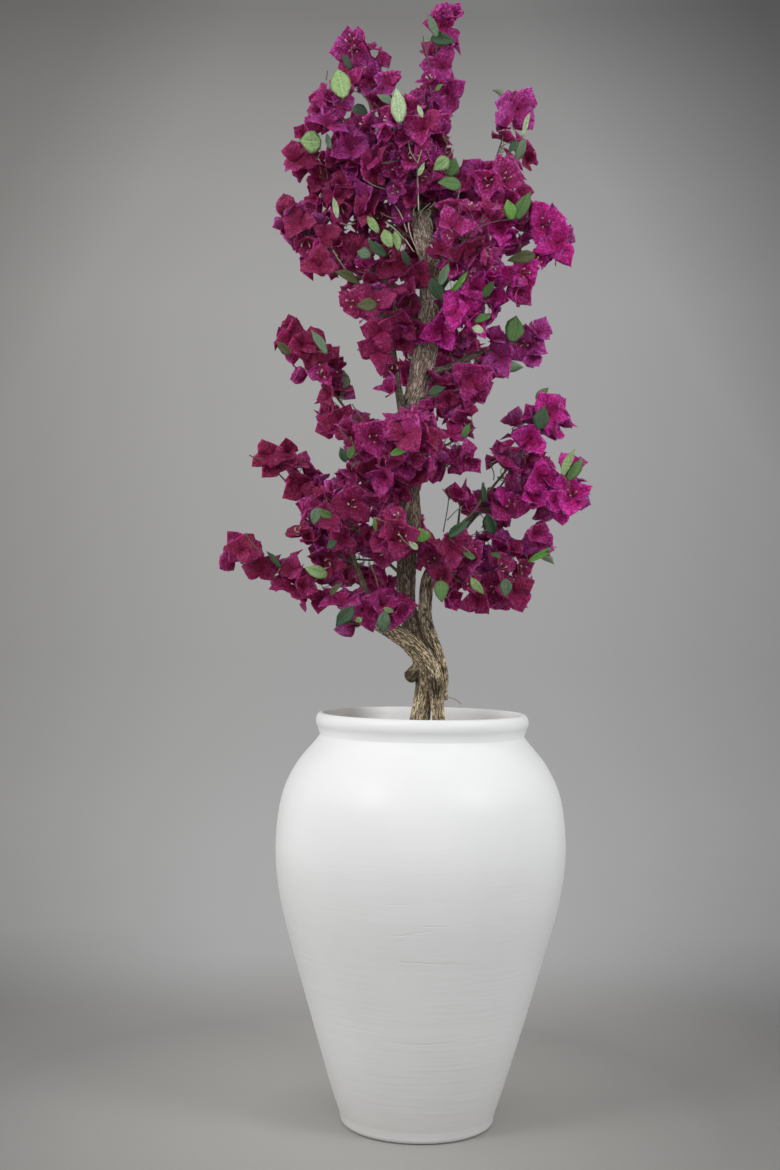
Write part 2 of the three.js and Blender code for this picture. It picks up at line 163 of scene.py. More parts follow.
def through(points, shares):
    """Where the smooth line through some points is, at shares of the way from first to last."""
    points = np.asarray(points, float)
    beyond = np.array([2 * points[0] - points[1], *points, 2 * points[-1] - points[-2]])
    way = np.clip(shares, 0, 1) * (len(points) - 1)
    first = np.minimum(way.astype(int), len(points) - 2)
    f = (way - first)[:, None]
    a, b, c, d = (beyond[first + k] for k in range(4))
    return b + 0.5 * f * (c - a + f * (2 * a - 5 * b + 4 * c - d + f * (3 * (b - c) + d - a)))


def spun(profile, steps):
    """A closed solid turned about the upright axis from a profile that starts and ends on it."""
    turned = bmesh.new()
    corners = [turned.verts.new((r * mm, 0, z * mm)) for r, z in profile]
    edges = [turned.edges.new(pair) for pair in zip(corners, corners[1:])]
    bmesh.ops.spin(
        turned, geom=corners + edges, cent=(0, 0, 0), axis=(0, 0, 1),
        angle=2 * math.pi, steps=steps, use_merge=True,
    )
    bmesh.ops.remove_doubles(turned, verts=turned.verts, dist=1e-6)
    bmesh.ops.recalc_face_normals(turned, faces=turned.faces)
    return turned


def meshed(shape, name):
    mesh = bpy.data.meshes.new(name)
    shape.to_mesh(mesh)
    shape.free()
    return mesh


planter_height = 742
floor_inside = 18
rim_middle, rim_out, rim_up = 184.6, 9.4, 14.5
planter_side = [
    (141, 20), (160, 77), (195, 194), (229, 311), (255, 413),
    (264, 501), (254, 589), (229, 647), (194, 691), (186, 702),
]
planter_inside = [
    (171, 706), (183, 682), (215, 645), (241, 585), (249, 501),
    (240, 410), (214, 311), (179, 194), (144, 77), (126, floor_inside),
]
foot_corner = np.radians(np.linspace(-90, 0, 7))
rim_turn = np.radians(np.linspace(-45, 180, 30))
planter_profile = [
    (0, 0),
    *zip(129 + 10 * np.cos(foot_corner), 10 + 10 * np.sin(foot_corner)),
    *through(planter_side, np.linspace(0, 1, 120)),
    *zip(
        rim_middle + rim_out * np.cos(rim_turn),
        planter_height - rim_up + rim_up * np.sin(rim_turn),
    ),
    *through(planter_inside, np.linspace(0, 1, 70)),
    (0, floor_inside),
]
planter = spun(planter_profile, 192)
wavy_beyond = 0.12
for corner in planter.verts:
    out = Vector((corner.co.x, corner.co.y, 0))
    if out.length > wavy_beyond:
        wave = noise.noise(corner.co * 7) * 0.7 + noise.noise(corner.co * 26) * 0.18
        corner.co += out.normalized() * wave * mm

planter_white, shader, place = new_finish(
    "planter_white", (0.80, 0.81, 0.81), 0.5, {"Coat Weight": 0.16, "Coat Roughness": 0.28},
)
brushed = cloudy(stretched(place, 7, 7, 210), 1.0, 4.0)
dragged = cloudy(stretched(place, 3, 3, 60), 1.0, 3.0)
stippled = cloudy(place, 420, 2.0)
worn = cloudy(place, 9, 5.0)
across, deep, height = (part_of(place, axis) for axis in range(3))
lower_half = between(height, 0.62, 0.25, 0.15, 1.0)
scratches = 0
for x, z, slope, reach, width in (
    (-0.020, 0.388, 0.18, 0.034, 0.0011),
    (-0.045, 0.438, 0.03, 0.016, 0.0012),
    (0.020, 0.336, -0.05, 0.060, 0.0013),
    (0.010, 0.190, 0.03, 0.045, 0.0011),
    (0.020, 0.402, 0.0, 0.020, 0.0010),
):
    waver = cloudy(stretched(place, 90, 1, 1), 1.0) * 0.004
    off_line = abs(height + waver - 0.002 - z - (across - x) * slope)
    near = between(off_line, width, 0.0)
    scratches = scratches + near * (abs(across - x) < reach) * (deep < 0.0)
brush_lines = (brushed * 0.5 + dragged * 0.9) * lower_half
# Painted shade: the paint darkens towards the foot, where the urn stands on the floor.
painted_foot_shade = between(height, 0.18, 0.0, 0.0, 0.85)
# Painted light and shade on the inner wall: it is whiter than the outside, standing in for light
# that reaches it, and turns dark grey in streaks toward the left, where it is in shade.
inside = between(across * across + deep * deep, 0.0342, 0.0334) * (height > 0.69)
inner_left_shade = between(across + dragged * 0.04, -0.045, -0.115, 0.0, 0.85)
inner_wall_lit_and_shaded = blended(inner_left_shade, (0.95, 0.95, 0.95), (0.42, 0.41, 0.39))
paint = blended(worn, (0.88, 0.89, 0.89), (0.81, 0.82, 0.82))
paint = blended(painted_foot_shade, paint, (0.68, 0.675, 0.665))
lay(shader, {
    "Base Color": blended(inside, paint, inner_wall_lit_and_shaded),
    "Roughness": 0.42 + worn * 0.16 + brushed * 0.06,
    "Normal": relief(brush_lines + stippled * 0.16 - scratches * 0.5, 0.0011, 0.7),
})
keep_piece("urn", meshed(planter, "urn"), [planter_white], ["pot"])

# Top dressing. The urn is filled with ballast up to 60 mm below its rim, and the stems stand in it.
# Rounded river pebbles, 14 to 30 mm across, are spread over pale grit.
fill_top, fill_foot, fill_gap = 682, 18.3, 0.4
fill_side = [(r - fill_gap, max(z, fill_foot)) for r, z in planter_inside[:0:-1]]
fill_profile = [(0, fill_foot), *through(fill_side, np.linspace(0, 1, 60)), (0, fill_top)]
bed = spun(fill_profile, 96)
grit, shader, place = new_finish("grit", (0.34, 0.32, 0.29), 0.95)
grains = place.node("ShaderNodeTexVoronoi", {}, {"Vector": place, "Scale": 380.0})
lay(shader, {
    "Base Color": blended(grains, (0.42, 0.40, 0.36), (0.20, 0.18, 0.15)),
    "Normal": relief(1 - grains, 0.002),
})
keep_piece("grit_bed", meshed(bed, "grit_bed"), [grit], ["planting_fill"])


def dice(seed):
    """Seeded dice, the same on every run."""
    state = (seed * 7919 + 17) % 2147483647

    def roll():
        nonlocal state
        state = state * 48271 % 2147483647
        return state / 2147483647

    return roll


def template_of(shape):
    """A small shape's corners and triangles as arrays, to be repeated."""
    bmesh.ops.triangulate(shape, faces=shape.faces)
    shape.verts.index_update()
    corners = np.array([v.co for v in shape.verts])
    faces = np.array([[v.index for v in f.verts] for f in shape.faces])
    shape.free()
    return corners, faces


def repeated(name, places, faces, paint_of_face=None, print_places=None):
    """One mesh of many like shapes: places holds each copy's corners, in metres."""
    copies, corners = places.shape[:2]
    mesh = bpy.data.meshes.new(name)
    every_face = (faces[None] + corners * np.arange(copies)[:, None, None]).reshape(-1, 3)
    mesh.from_pydata(places.reshape(-1, 3), [], every_face.tolist())
    if paint_of_face is not None:
        mesh.polygons.foreach_set("material_index", paint_of_face.ravel().astype(np.int32))
    if print_places is not None:
        printed = mesh.attributes.new("print", "FLOAT_VECTOR", "POINT")
        printed.data.foreach_set("vector", print_places.ravel())
    return mesh


pebble_shape = bmesh.new()
bmesh.ops.create_cube(pebble_shape, size=2)
bmesh.ops.subdivide_edges(pebble_shape, edges=pebble_shape.edges, cuts=1, use_grid_fill=True)
for corner in pebble_shape.verts:
    corner.co.normalize()
pebble_corners, pebble_faces = template_of(pebble_shape)
roll = dice(501)
pebbles, pebble_paint = [], []
pebble_spacing = 17.5
bed_radius = 168
stems_x, stems_y, stems_radius = 10, -4, 34
full_turn = 6.28
for ring in range(11):
    ring_radius = ring * pebble_spacing * 0.93
    for k in range(max(1, round(2 * math.pi * ring_radius / pebble_spacing))):
        turn = (k + roll() * 0.5) * pebble_spacing / max(ring_radius, 1) + ring
        x, y = ring_radius * math.cos(turn), ring_radius * math.sin(turn)
        size = np.array([8.5 + 4 * roll(), 7.5 + 3 * roll(), 5.2 + 2.2 * roll()])
        off_stems = math.hypot(x - stems_x, y - stems_y)
        if math.hypot(x, y) > bed_radius or off_stems < stems_radius:
            continue
        spin, lean = roll() * full_turn, (roll() - 0.5) * 0.7
        shape = pebble_corners * size
        lumps = np.array([noise.noise(Vector(p) * 0.11 + Vector((x, y, ring))) for p in shape])
        shape = shape * (1 + 0.22 * lumps[:, None])
        shape[:, 2] += shape[:, 0] * lean
        c, s = math.cos(spin), math.sin(spin)
        shape = shape @ np.array([[c, s, 0], [-s, c, 0], [0, 0, 1]])
        pebbles.append(shape + (x, y, fill_top + 2.5 + 2.5 * roll()))
        pebble_paint.append([int(roll() * 3)] * len(pebble_faces))
pebble_paints = []
for name, light in (("pebble_white", (0.72, 0.70, 0.66)), ("pebble_grey", (0.52, 0.51, 0.49)),
                    ("pebble_tan", (0.60, 0.54, 0.45))):
    material, shader, place = new_finish(name, light, 0.7)
    speckle = cloudy(place, 320, 5.0)
    dark = tuple(0.6 * channel for channel in light)
    lay(shader, {
        "Base Color": blended(speckle, dark, light),
        "Normal": relief(speckle, 0.0006, 0.5),
    })
    pebble_paints.append(material)
pebble_mesh = repeated("pebbles", np.array(pebbles) * mm, pebble_faces, np.array(pebble_paint))
keep_piece("pebbles", pebble_mesh, pebble_paints)

# Stems. Three lengths of natural wood with furrowed grey-brown bark: the main one runs up through
# the crown, and the others cross it low down. They are screwed to each other and set in the fill.
# A row: a place on the middle line, and the radius there.
stem_rows = {
    "stem_main": [
        (-9, -4, 664, 22), (-4, 4, 735, 17.5), (3, 16, 795, 17), (-4, 20, 850, 17),
        (-25, 17, 910, 17.5), (-32, 8, 970, 18), (-32, 3, 1035, 18), (-27, 0, 1103, 20),
        (-33, 2, 1187, 18.5), (-32, 2, 1268, 19), (-16, 0, 1342, 21), (-2, 0, 1414, 21),
        (4, 0, 1497, 19), (3, 0, 1566, 18), (-7, 0, 1610, 19), (-19, 0, 1661, 19),
    ],
    "stem_front": [
        (31, -8, 664, 16), (29, -11, 735, 13.5), (26, -14, 785, 15.5), (13, -17, 825, 18),
        (-17, -18, 862, 17.5), (-52, -20, 889, 16), (-94, -24, 911, 14), (-130, -24, 941, 10),
    ],
    "stem_right": [
        (42, -2, 772, 6.5), (38.5, 3, 802, 10), (28, 6, 844, 12.5), (11, 6, 890, 13.5),
        (4, 6, 939, 13.5), (7, 6, 985, 12.5), (25, 4, 1022, 10),
    ],
}
limbs = {name: np.array(rows, float) for name, rows in stem_rows.items()}


def steady_axes(line):
    """At each point of a line: the way along it, and two ways across it that don't twist."""
    along = np.gradient(line, axis=0)
    along /= np.linalg.norm(along, axis=1, keepdims=True)
    side = np.cross(along[0], (0.0, 1.0, 0.3))
    sides = []
    for way in along:
        side = side - way * (side @ way)
        side /= np.linalg.norm(side)
        sides.append(side)
    return along, np.array(sides), np.cross(along, sides)


def bark_tube(rows, sides, spacing, seed, furrow_depth, lump_depth, round_end=0.0):
    """A limb with its bark's furrows modelled. The straightened limb's own coordinates and the
    depth of the furrows are kept with each corner, for the bark's colour and the shade painted
    into the furrows."""
    rough = through(rows[:, :3], np.linspace(0, 1, 200))
    length = np.linalg.norm(np.diff(rough, axis=0), axis=1).sum()
    rings = max(4, round(length / spacing))
    shares = np.linspace(0, 1, rings + 1)
    line = through(rows[:, :3], shares)
    radii = np.interp(shares * (len(rows) - 1), np.arange(len(rows)), rows[:, 3])
    if round_end:
        radii *= np.sqrt(np.clip(1 - np.clip((shares - 1) / round_end + 1, 0, 1) ** 2, 0.02, 1))
    _, across, over = steady_axes(line)
    tube = bmesh.new()
    bmesh.ops.create_grid(tube, x_segments=sides, y_segments=rings, size=0.5)
    grain = tube.verts.layers.float_vector.new("grain")
    furrow = tube.verts.layers.float.new("furrow")
    shift = Vector((seed * 31.7, seed * 17.3, seed * 53.9))
    for corner in tube.verts:
        turn = (corner.co.x + 0.5) * 2 * math.pi
        ring = round((corner.co.y + 0.5) * rings)
        c, s, radius = math.cos(turn), math.sin(turn), radii[ring]
        straight = Vector((c * radius, s * radius, shares[ring] * length))
        twist = straight + Vector((0.10 * straight.z, 0, 0))
        wide = noise.noise(Vector((twist.x / 7, twist.y / 7, twist.z / 90)) + shift)
        fine = noise.noise(Vector((twist.x / 3.2, twist.y / 3.2, twist.z / 36)) + shift)
        pits = noise.noise(Vector((twist.x / 2.6, twist.y / 2.6, twist.z / 8)) + shift * 2)
        lump = noise.noise(Vector((straight.x / 26, straight.y / 26, straight.z / 45)) + shift)
        cut = 0.5 * math.exp(-((wide / 0.12) ** 2)) + 0.45 * math.exp(-((fine / 0.17) ** 2))
        cut += 0.4 * max(0.0, pits - 0.25)
        bump = lump * lump_depth + (wide + fine * 0.6) * furrow_depth * 0.5 - cut * furrow_depth
        reach = max(0.4, radius + bump)
        corner.co = Vector(line[ring] + (across[ring] * c + over[ring] * s) * reach) * mm
        corner[grain] = straight * mm
        corner[furrow] = min(1.0, cut)
    bmesh.ops.remove_doubles(tube, verts=tube.verts, dist=2e-6)
    ends = [edge for edge in tube.edges if edge.is_boundary]
    caps = bmesh.ops.holes_fill(tube, edges=ends, sides=0)["faces"]
    bmesh.ops.poke(tube, faces=caps)
    bmesh.ops.recalc_face_normals(tube, faces=tube.faces)
    return tube


def kept_on(place, name, output):
    """What a mesh keeps with its corners under a name: a place (output 1) or a number (2)."""
    return place.node("ShaderNodeAttribute", {"attribute_name": name}, {}, output)


def away_from(place, point):
    return place.node("ShaderNodeVectorMath", {"operation": "DISTANCE"}, {0: place, 1: point}, 1)


def bark_finish(name, tones, changes, shade_spots=()):
    """Bark. From the foot up, each of its tones is a ground, its ridges' paler one and a dark one
    for its pits and the shade painted into its furrows, and each change is the two heights between
    which it turns to the next tone. The spots given last are painted shade, in the crevices between
    the
    stems and on their shaded sides: x, y, z and a radius each."""
    material, shader, place = new_finish(name, tones[0][0], 0.85)
    grain, furrow = kept_on(place, "grain", 1), kept_on(place, "furrow", 2)
    ridges = cloudy(stretched(grain, 1, 1, 0.08), 220, 3.0)
    dashes = cloudy(stretched(grain, 1, 1, 0.18), 560, 2.0)
    pits = cloudy(stretched(grain, 1, 1, 0.22), 760, 2.0)
    patches = cloudy(place, 24, 3.0)
    ground, pale, dark = tones[0]
    for (low, high), upper in zip(changes, tones[1:]):
        rise = between(part_of(place, 2) + (patches - 0.5) * 0.12, low, high)
        ground, pale, dark = (blended(rise, *pair) for pair in zip((ground, pale, dark), upper))
    crests = between(ridges * 0.5 + dashes * 0.7 + patches * 0.25, 0.665, 0.785)
    surface = blended(crests, ground, pale)
    surface = blended(between(pits + ridges * 0.3, 0.67, 0.74) * 0.9, surface, dark)
    # Painted shade: the bark darkens with the depth of its furrows.
    shadow = between(furrow, 0.35, 0.95) * 0.85
    # Painted shade round each of the spots, in crevices between the stems and on their shaded
    # sides.
    for x, y, z, radius in shade_spots:
        away = away_from(place, (x, y, z)) + (patches - 0.5) * 0.03
        shadow = shadow + (1 - between(away, radius * 0.6, radius)) * 0.65
    lay(shader, {
        "Base Color": blended(shadow, surface, dark),
        "Roughness": 0.78 + dashes * 0.2,
        "Normal": relief(ridges + dashes * 0.8 - pits * 0.8, 0.0016, 1.0),
    })
    return material


tan_bark = ((0.134, 0.095, 0.053), (0.830, 0.685, 0.440), (0.026, 0.018, 0.011))
streaky_bark = ((0.134, 0.097, 0.060), (0.680, 0.570, 0.420), (0.020, 0.014, 0.009))
dark_bark = ((0.108, 0.073, 0.055), (0.420, 0.330, 0.245), (0.020, 0.013, 0.010))
light_bark = ((0.255, 0.180, 0.143), (0.770, 0.630, 0.527), (0.038, 0.025, 0.020))
bark = bark_finish(
    "bark", (tan_bark, dark_bark, light_bark), ((0.81, 0.88), (1.16, 1.26)),
    [(0.018, -0.030, 0.785, 0.024), (-0.022, 0.0, 0.800, 0.022), (-0.047, -0.012, 1.305, 0.024)],
)
bark_short = bark_finish(
    "bark_short", (tan_bark, streaky_bark), ((0.86, 0.94),),
    [(0.018, -0.030, 0.785, 0.024), (0.0195, -0.008, 0.903, 0.009), (0.027, -0.008, 0.875, 0.009),
     (0.035, -0.008, 0.848, 0.009), (0.040, -0.009, 0.821, 0.009), (0.041, -0.010, 0.800, 0.008)],
)


def kept_limb(name, tubes, material, node):
    whole = bmesh.new()
    for tube in tubes:
        part = meshed(tube, name + "_part")
        whole.from_mesh(part)
        bpy.data.meshes.remove(part)
    keep_piece(name, meshed(whole, name), [material], [node])


stub = np.array([(0, 18, 830, 14), (-14, 13, 817, 13.5), (-29, 7, 801, 13)], float)
main_tubes = [
    bark_tube(limbs["stem_main"], 92, 2.4, 1, 2.2, 2.8, 0.012),
    bark_tube(stub, 52, 1.6, 4, 1.8, 2.6, 0.2),
]
kept_limb("stem_main_bark", main_tubes, bark, "stem_main")
ridge = np.array([
    (22, -25, 838, 3), (32, -24, 811, 4.5), (34, -26, 788, 4.5), (31.5, -26, 766, 4),
    (34, -22, 730, 4),
], float)
front_rows = limbs["stem_front"].copy()
front_rows[2:4] = (24, -14, 785, 13), (12, -17, 825, 17)
front_tubes = [
    bark_tube(front_rows, 80, 2.0, 2, 2.0, 3.2),
    bark_tube(ridge, 22, 1.8, 5, 1.0, 1.6, 0.1),
]
kept_limb("stem_front_bark", front_tubes, bark_short, "stem_front")
right_rows = np.array([
    (43, -3, 766, 3.5), (42, -2, 782, 6), (40.5, 0, 800, 7), (36.5, 4, 824, 8), (29.5, 6, 848, 10),
    (18, 6, 872, 12), (9, 6, 892, 13), (4, 6, 916, 13.5), (4, 6, 939, 13.5), (7, 6, 985, 12.5),
    (25, 4, 1022, 10),
], float)
right_tubes = [bark_tube(right_rows, 64, 1.8, 3, 1.8, 2.8, 0.04)]
kept_limb("stem_right_bark", right_tubes, bark_short, "stem_right")

# Boughs. Thinner lengths of the same wood, one for each main branch, plugged into holes in the
# stems. Each carries wired silk sprays at its tip and along it.
# A row: what carries it and how far along, its bearing, rise and length, and its two radii.
bough_rows = [
    ("bough_right_upper", "stem_main", 0.8, 0, 59, 167, 10, 6),
    ("bough_left_upper", "stem_main", 0.787, 180, 35, 145, 9, 5.5),
    ("bough_centre_left", "stem_main", 0.579, -144, 77, 172, 10, 6),
    ("bough_left_mid", "stem_main", 0.482, 180, 57, 163, 8.5, 5),
    ("bough_left_low", "stem_front", 0.793, 169, 66, 169, 7, 4.5),
    ("bough_right_low", "stem_right", 0.96, -3, 55, 150, 9, 5.5),
    ("bough_right_mid", "stem_main", 0.682, 0, 22, 121, 8.5, 5),
    ("bough_back_upper", "stem_main", 0.842, 86, 44, 138, 9, 5.5),
    ("bough_back_middle", "stem_main", 0.66, 81, 20, 148, 10, 6),
    ("bough_back_low", "stem_main", 0.358, 94, 27, 129, 9, 5.5),
    ("bough_front_upper", "stem_main", 0.813, -71, 21, 114, 8, 5),
    ("bough_front_low", "stem_main", 0.382, -102, 21, 103, 8, 5),
]


def reached(root, bearing, rise, length):
    """The point that far from a root, toward a bearing from +X and a rise, in degrees."""
    turn, lift = math.radians(bearing), math.radians(rise)
    level = math.cos(lift) * length
    return root + (math.cos(turn) * level, math.sin(turn) * level, math.sin(lift) * length)


def limb_point(name, share):
    return through(limbs[name][:, :3], np.array([share]))[0]


bough_tones = (
    ((0.110, 0.085, 0.055), (0.230, 0.190, 0.130), (0.022, 0.017, 0.012)),
    ((0.090, 0.075, 0.055), (0.190, 0.165, 0.125), (0.020, 0.016, 0.012)),
)
bough_bark = bark_finish("bough_bark", bough_tones, ((0.9, 1.6),))
for index, (name, carrier, share, bearing, rise, length, thick, thin) in enumerate(bough_rows):
    root = limb_point(carrier, share)
    tip = reached(root, bearing, rise, length)
    middle = (root + tip) / 2 - (0, 0, 0.04 * length)
    ends = [(*root, thick), (*middle, (thick + thin) / 2), (*tip, thin)]
    limbs[name] = np.array(ends)
    tubes = [bark_tube(limbs[name], 30, 3.4, 10 + index, 0.7, 0.8)]
    kept_limb(name + "_bark", tubes, bough_bark, name)

# Sprays. Each is a stem of coated wire, bound to its limb, with side twigs at the golden angle,
# longest in the middle, and every second one short. They fork into finer ones that end in flowers.
# A row: what carries it and how far along, its bearing, rise, length, spread, and its silk.
spray_rows = [
    ("top", "stem_main", 0.99, 0, 85, 345, 42, "plum"),
    ("upper_left_tip", "stem_main", 0.955, 172, 67, 335, 40, "plum"),
    ("upper_left", "stem_main", 0.94, -163, 51, 290, 60, "plum"),
    ("upper_left_out", "stem_main", 0.91, 176, 34, 275, 60, "deep"),
    ("crown_front", "stem_main", 0.98, -106, 41, 206, 70, "magenta"),
    ("crown_back", "stem_main", 0.96, 92, 59, 313, 70, "plum"),
    ("crown_right", "stem_main", 0.93, -37, 75, 180, 50, "magenta"),
    ("right_tip", "bough_right_upper", 0.75, 6, 72, 260, 36, "rose"),
    ("right_upper", "bough_right_upper", 0.9, -62, 43, 124, 60, "magenta"),
    ("right_far", "bough_right_upper", 1, 0, -7, 138, 58, "hot"),
    ("right_upper_back", "bough_back_upper", 0.6, 55, 20, 160, 68, "magenta"),
    ("back_upper", "bough_back_upper", 1, 100, 20, 150, 72, "deep"),
    ("front_upper", "bough_front_upper", 1, -78, 9, 124, 70, "magenta"),
    ("left_mid", "bough_left_upper", 1, 180, 27, 150, 55, "wine"),
    ("left_mid_low", "bough_left_upper", 0.7, -155, 0, 105, 40, "wine"),
    ("centre_left", "stem_main", 0.77, -145, 1, 174, 62, "deep"),
    ("centre_left_back", "stem_main", 0.75, 124, 26, 255, 70, "deep"),
    ("centre_left_low", "bough_centre_left", 1, -147, -12, 75, 58, "deep"),
    ("centre_right", "stem_main", 0.74, -32, 37, 165, 60, "hot"),
    ("right_mid", "bough_right_mid", 1, 0, 15, 95, 44, "rose"),
    ("right_mid_low", "stem_main", 0.64, -26, 12, 142, 46, "magenta"),
    ("back_middle", "bough_back_middle", 1, 89, 24, 165, 75, "deep"),
    ("back_right", "bough_back_middle", 0.6, 39, 15, 176, 68, "magenta"),
    ("left", "bough_left_mid", 1, 180, 53, 215, 46, "wine"),
    ("mid_left", "stem_main", 0.5, -131, 21, 171, 66, "deep"),
    ("mid_front", "stem_main", 0.52, -94, 16, 221, 70, "magenta"),
    ("centre_right_low", "stem_main", 0.54, -19, 27, 145, 52, "magenta"),
    ("left_back", "stem_main", 0.55, 123, 16, 232, 68, "deep"),
    ("left_low", "bough_left_low", 1, 177, 44, 198, 44, "wine"),
    ("left_low_inner", "bough_left_low", 0.75, -167, 25, 100, 38, "wine"),
    ("low_left", "stem_main", 0.35, -138, 36, 213, 66, "deep"),
    ("low_front", "bough_front_low", 1, -89, 6, 121, 62, "deep"),
    ("lowest_left", "stem_front", 1, -179, 19, 215, 42, "deep"),
    ("lower_left_hang", "stem_front", 0.83, -122, 0, 102, 48, "magenta"),
    ("back_low", "bough_back_low", 1, 88, 32, 178, 75, "deep"),
    ("back_low_left", "bough_back_low", 0.6, 139, 2, 176, 64, "wine"),
    ("right_low", "stem_right", 1, 2, 6, 170, 50, "rose"),
    ("right_low_front", "stem_right", 0.88, -75, 16, 178, 60, "deep"),
    ("right_low_hang", "bough_right_low", 0.3, -19, -38, 135, 42, "deep"),
    ("right_high", "bough_right_low", 1, 0, 53, 196, 50, "hot"),
    ("right_out", "bough_right_low", 0.85, -12, 7, 165, 50, "hot"),
    ("right_back", "bough_right_low", 0.5, 56, 35, 263, 66, "magenta"),
    ("small_sprig", "bough_right_low", 0.45, -75, 74, 85, 24, "magenta"),
]
area_per_twig = 1250
fewest_twigs = 4
bare_start = 0.2
twig_lean = 1.05
short_twig = 0.45
golden_turn = math.pi * (3 - math.sqrt(5))


def unit(vector):
    return vector / np.linalg.norm(vector)


def facing_axes(facing, turn):
    """Two ways across a facing direction, turned about it."""
    reference = np.array([1.0, 0, 0]) if abs(facing[2]) > 0.9 else np.array([0, 0, 1.0])
    side = unit(np.cross(facing, reference))
    over = np.cross(facing, side)
    turned = side * math.cos(turn) + over * math.sin(turn)
    return turned, np.cross(facing, turned)


class Spray:
    """A spray's own stem: a sagging line from the limb that carries it to its tip."""

    def __init__(self, index, name, carrier, share, bearing, rise, length, spread, silk):
        self.index, self.name, self.silk = index, "spray_" + name, "silk_" + silk
        self.length, self.spread = length, spread
        self.root = limb_point(carrier, share)
        self.tip = reached(self.root, bearing, rise, length)
        self.middle = (self.root + self.tip) / 2 - (0, 0, 0.04 * length)
        self.checks = np.array([self.point(u) for u in np.linspace(0, 1, 17)])

    def point(self, u):
        return (1 - u) ** 2 * self.root + 2 * u * (1 - u) * self.middle + u * u * self.tip

    def tangent(self, u):
        return unit((1 - u) * (self.middle - self.root) + u * (self.tip - self.middle))


sprays = [Spray(index, *row) for index, row in enumerate(spray_rows)]
limb_checks = []
for rows in limbs.values():
    shares = np.linspace(0, 1, 40)
    radii = np.interp(shares * (len(rows) - 1), np.arange(len(rows)), rows[:, 3])
    limb_checks.append(np.column_stack([through(rows[:, :3], shares), radii]))
limb_checks = np.vstack(limb_checks)
every_check = np.array([spray.checks for spray in sprays])
overlap = 6


def in_own_space(spray, point):
    """Whether a point is nearer to its own spray's stem than to any other's, or nearly so."""
    gaps = np.linalg.norm(every_check - point, axis=2).min(1)
    own = gaps[spray.index]
    gaps[spray.index] = np.inf
    return gaps.min() > own - overlap


def clear_of_limbs(point, room):
    gaps = np.linalg.norm(limb_checks[:, :3] - point, axis=1) - limb_checks[:, 3]
    return gaps.min() > room


eye = np.array([-62.0, -3000.0, 940.0])

# Where the crown is kept open to the sky, as seen from the eye in front of it: a centre and a
# radius each, on the upright plane through the urn's middle.
openings = np.array([
    (-73, 2044, 62), (120, 1976, 62), (-231, 1954, 55), (-50, 1946, 22), (77, 1854, 37),
    (78, 1794, 40), (-327, 1783, 62), (-255, 1696, 19), (-253, 1570, 12), (-187, 1527, 11),
    (187, 1494, 17), (149, 1471, 13), (-230, 1455, 8), (-153, 1434, 32), (254, 1396, 41),
    (-267, 1361, 15), (-119, 1358, 23), (134, 1334, 18), (-107, 1309, 21), (108, 1262, 21),
    (-166, 1237, 11), (-177, 1220, 21), (-314, 1207, 8), (109, 1191, 16), (87, 1174, 17),
    (-286, 1153, 20), (14, 1133, 29), (-252, 1120, 7), (55, 1097, 8), (236, 1094, 12),
    (88, 1092, 8), (178, 1088, 16), (-218, 1033, 8), (-321, 944, 36), (-194, 896, 30),
    (-106, 870, 8), (128, 1182, 10), (-152, 834, 22), (-32, 1914, 10), (112, 1776, 18),
    (-60, 1012, 4), (-114, 1023, 8), (-176, 1951, 10), (178, 1880, 10), (-129, 1853, 9),
    (-228, 1440, 11), (-118, 1405, 10), (-215, 1331, 11), (-346, 987, 12), (-165, 1531, 9),
    (-112, 1447, 8), (145, 1451, 8), (75, 1370, 8), (161, 1367, 9), (200, 1250, 9),
    (-161, 890, 10), (-84, 874, 9),
], float)

# Where the bare stem shows through: flowers are kept from in front of it.
stem_views = np.array([
    (-4, 1664, 14), (1, 1645, 15), (1, 1612, 16), (1, 1580, 14), (8, 1553, 8), (11, 1502, 13),
    (9, 1480, 9), (7, 1375, 15), (2, 1345, 15), (-14, 1326, 12), (-16, 1118, 14), (-17, 1090, 15),
    (-22, 1066, 10), (-32, 985, 16), (14, 975, 18), (-22, 930, 13), (10, 930, 20),
], float)


def seen_at(point):
    """Where a point appears from the front, on the upright plane through the urn's middle."""
    seen = eye + (point - eye) * eye[1] / (eye[1] - point[1])
    return seen[[0, 2]]


def placed_at(x, z, y):
    """The point at a depth that appears at a place on that plane."""
    return eye + (np.array([x, 0, z]) - eye) * (y - eye[1]) / -eye[1]


stem_margin = 8


def in_opening(point, margin):
    """Whether a point would be seen in one of the openings, or before the bare stem."""
    x, z = seen_at(point)
    if (np.hypot(openings[:, 0] - x, openings[:, 1] - z) < openings[:, 2] + margin).any():
        return True
    off_stem = np.hypot(stem_views[:, 0] - x, stem_views[:, 1] - z)
    return point[1] < 0 and (off_stem < stem_views[:, 2] + stem_margin).any()


twigs, flowers = [], []
flower_places = np.empty((0, 3))
flower_rooms = []
heart_reach = 12
limb_room = 15
open_margin = 18
large, large_room = 1.2, 9


def try_flower(spray, start, end, aim, spin, size, room, own_space=True, margin=open_margin):
    """A twig with a flower on its end, left out where it would crowd another, a limb or a gap.
    The flower's heart is a little before the twig's end, and the room is to the other hearts."""
    global flower_places
    heart = end + aim * heart_reach * size
    if own_space and not in_own_space(spray, heart):
        return False
    if not clear_of_limbs(heart, limb_room) or in_opening(heart, margin):
        return False
    if len(flower_places):
        if (np.linalg.norm(flower_places - heart, axis=1) - flower_rooms).min() < room:
            return False
    flower_places = np.vstack([flower_places, heart])
    flower_rooms.append(large_room if size >= large else 0)
    flowers.append((end, aim, spin, size, spray.index))
    twigs.append((start, end))
    return True


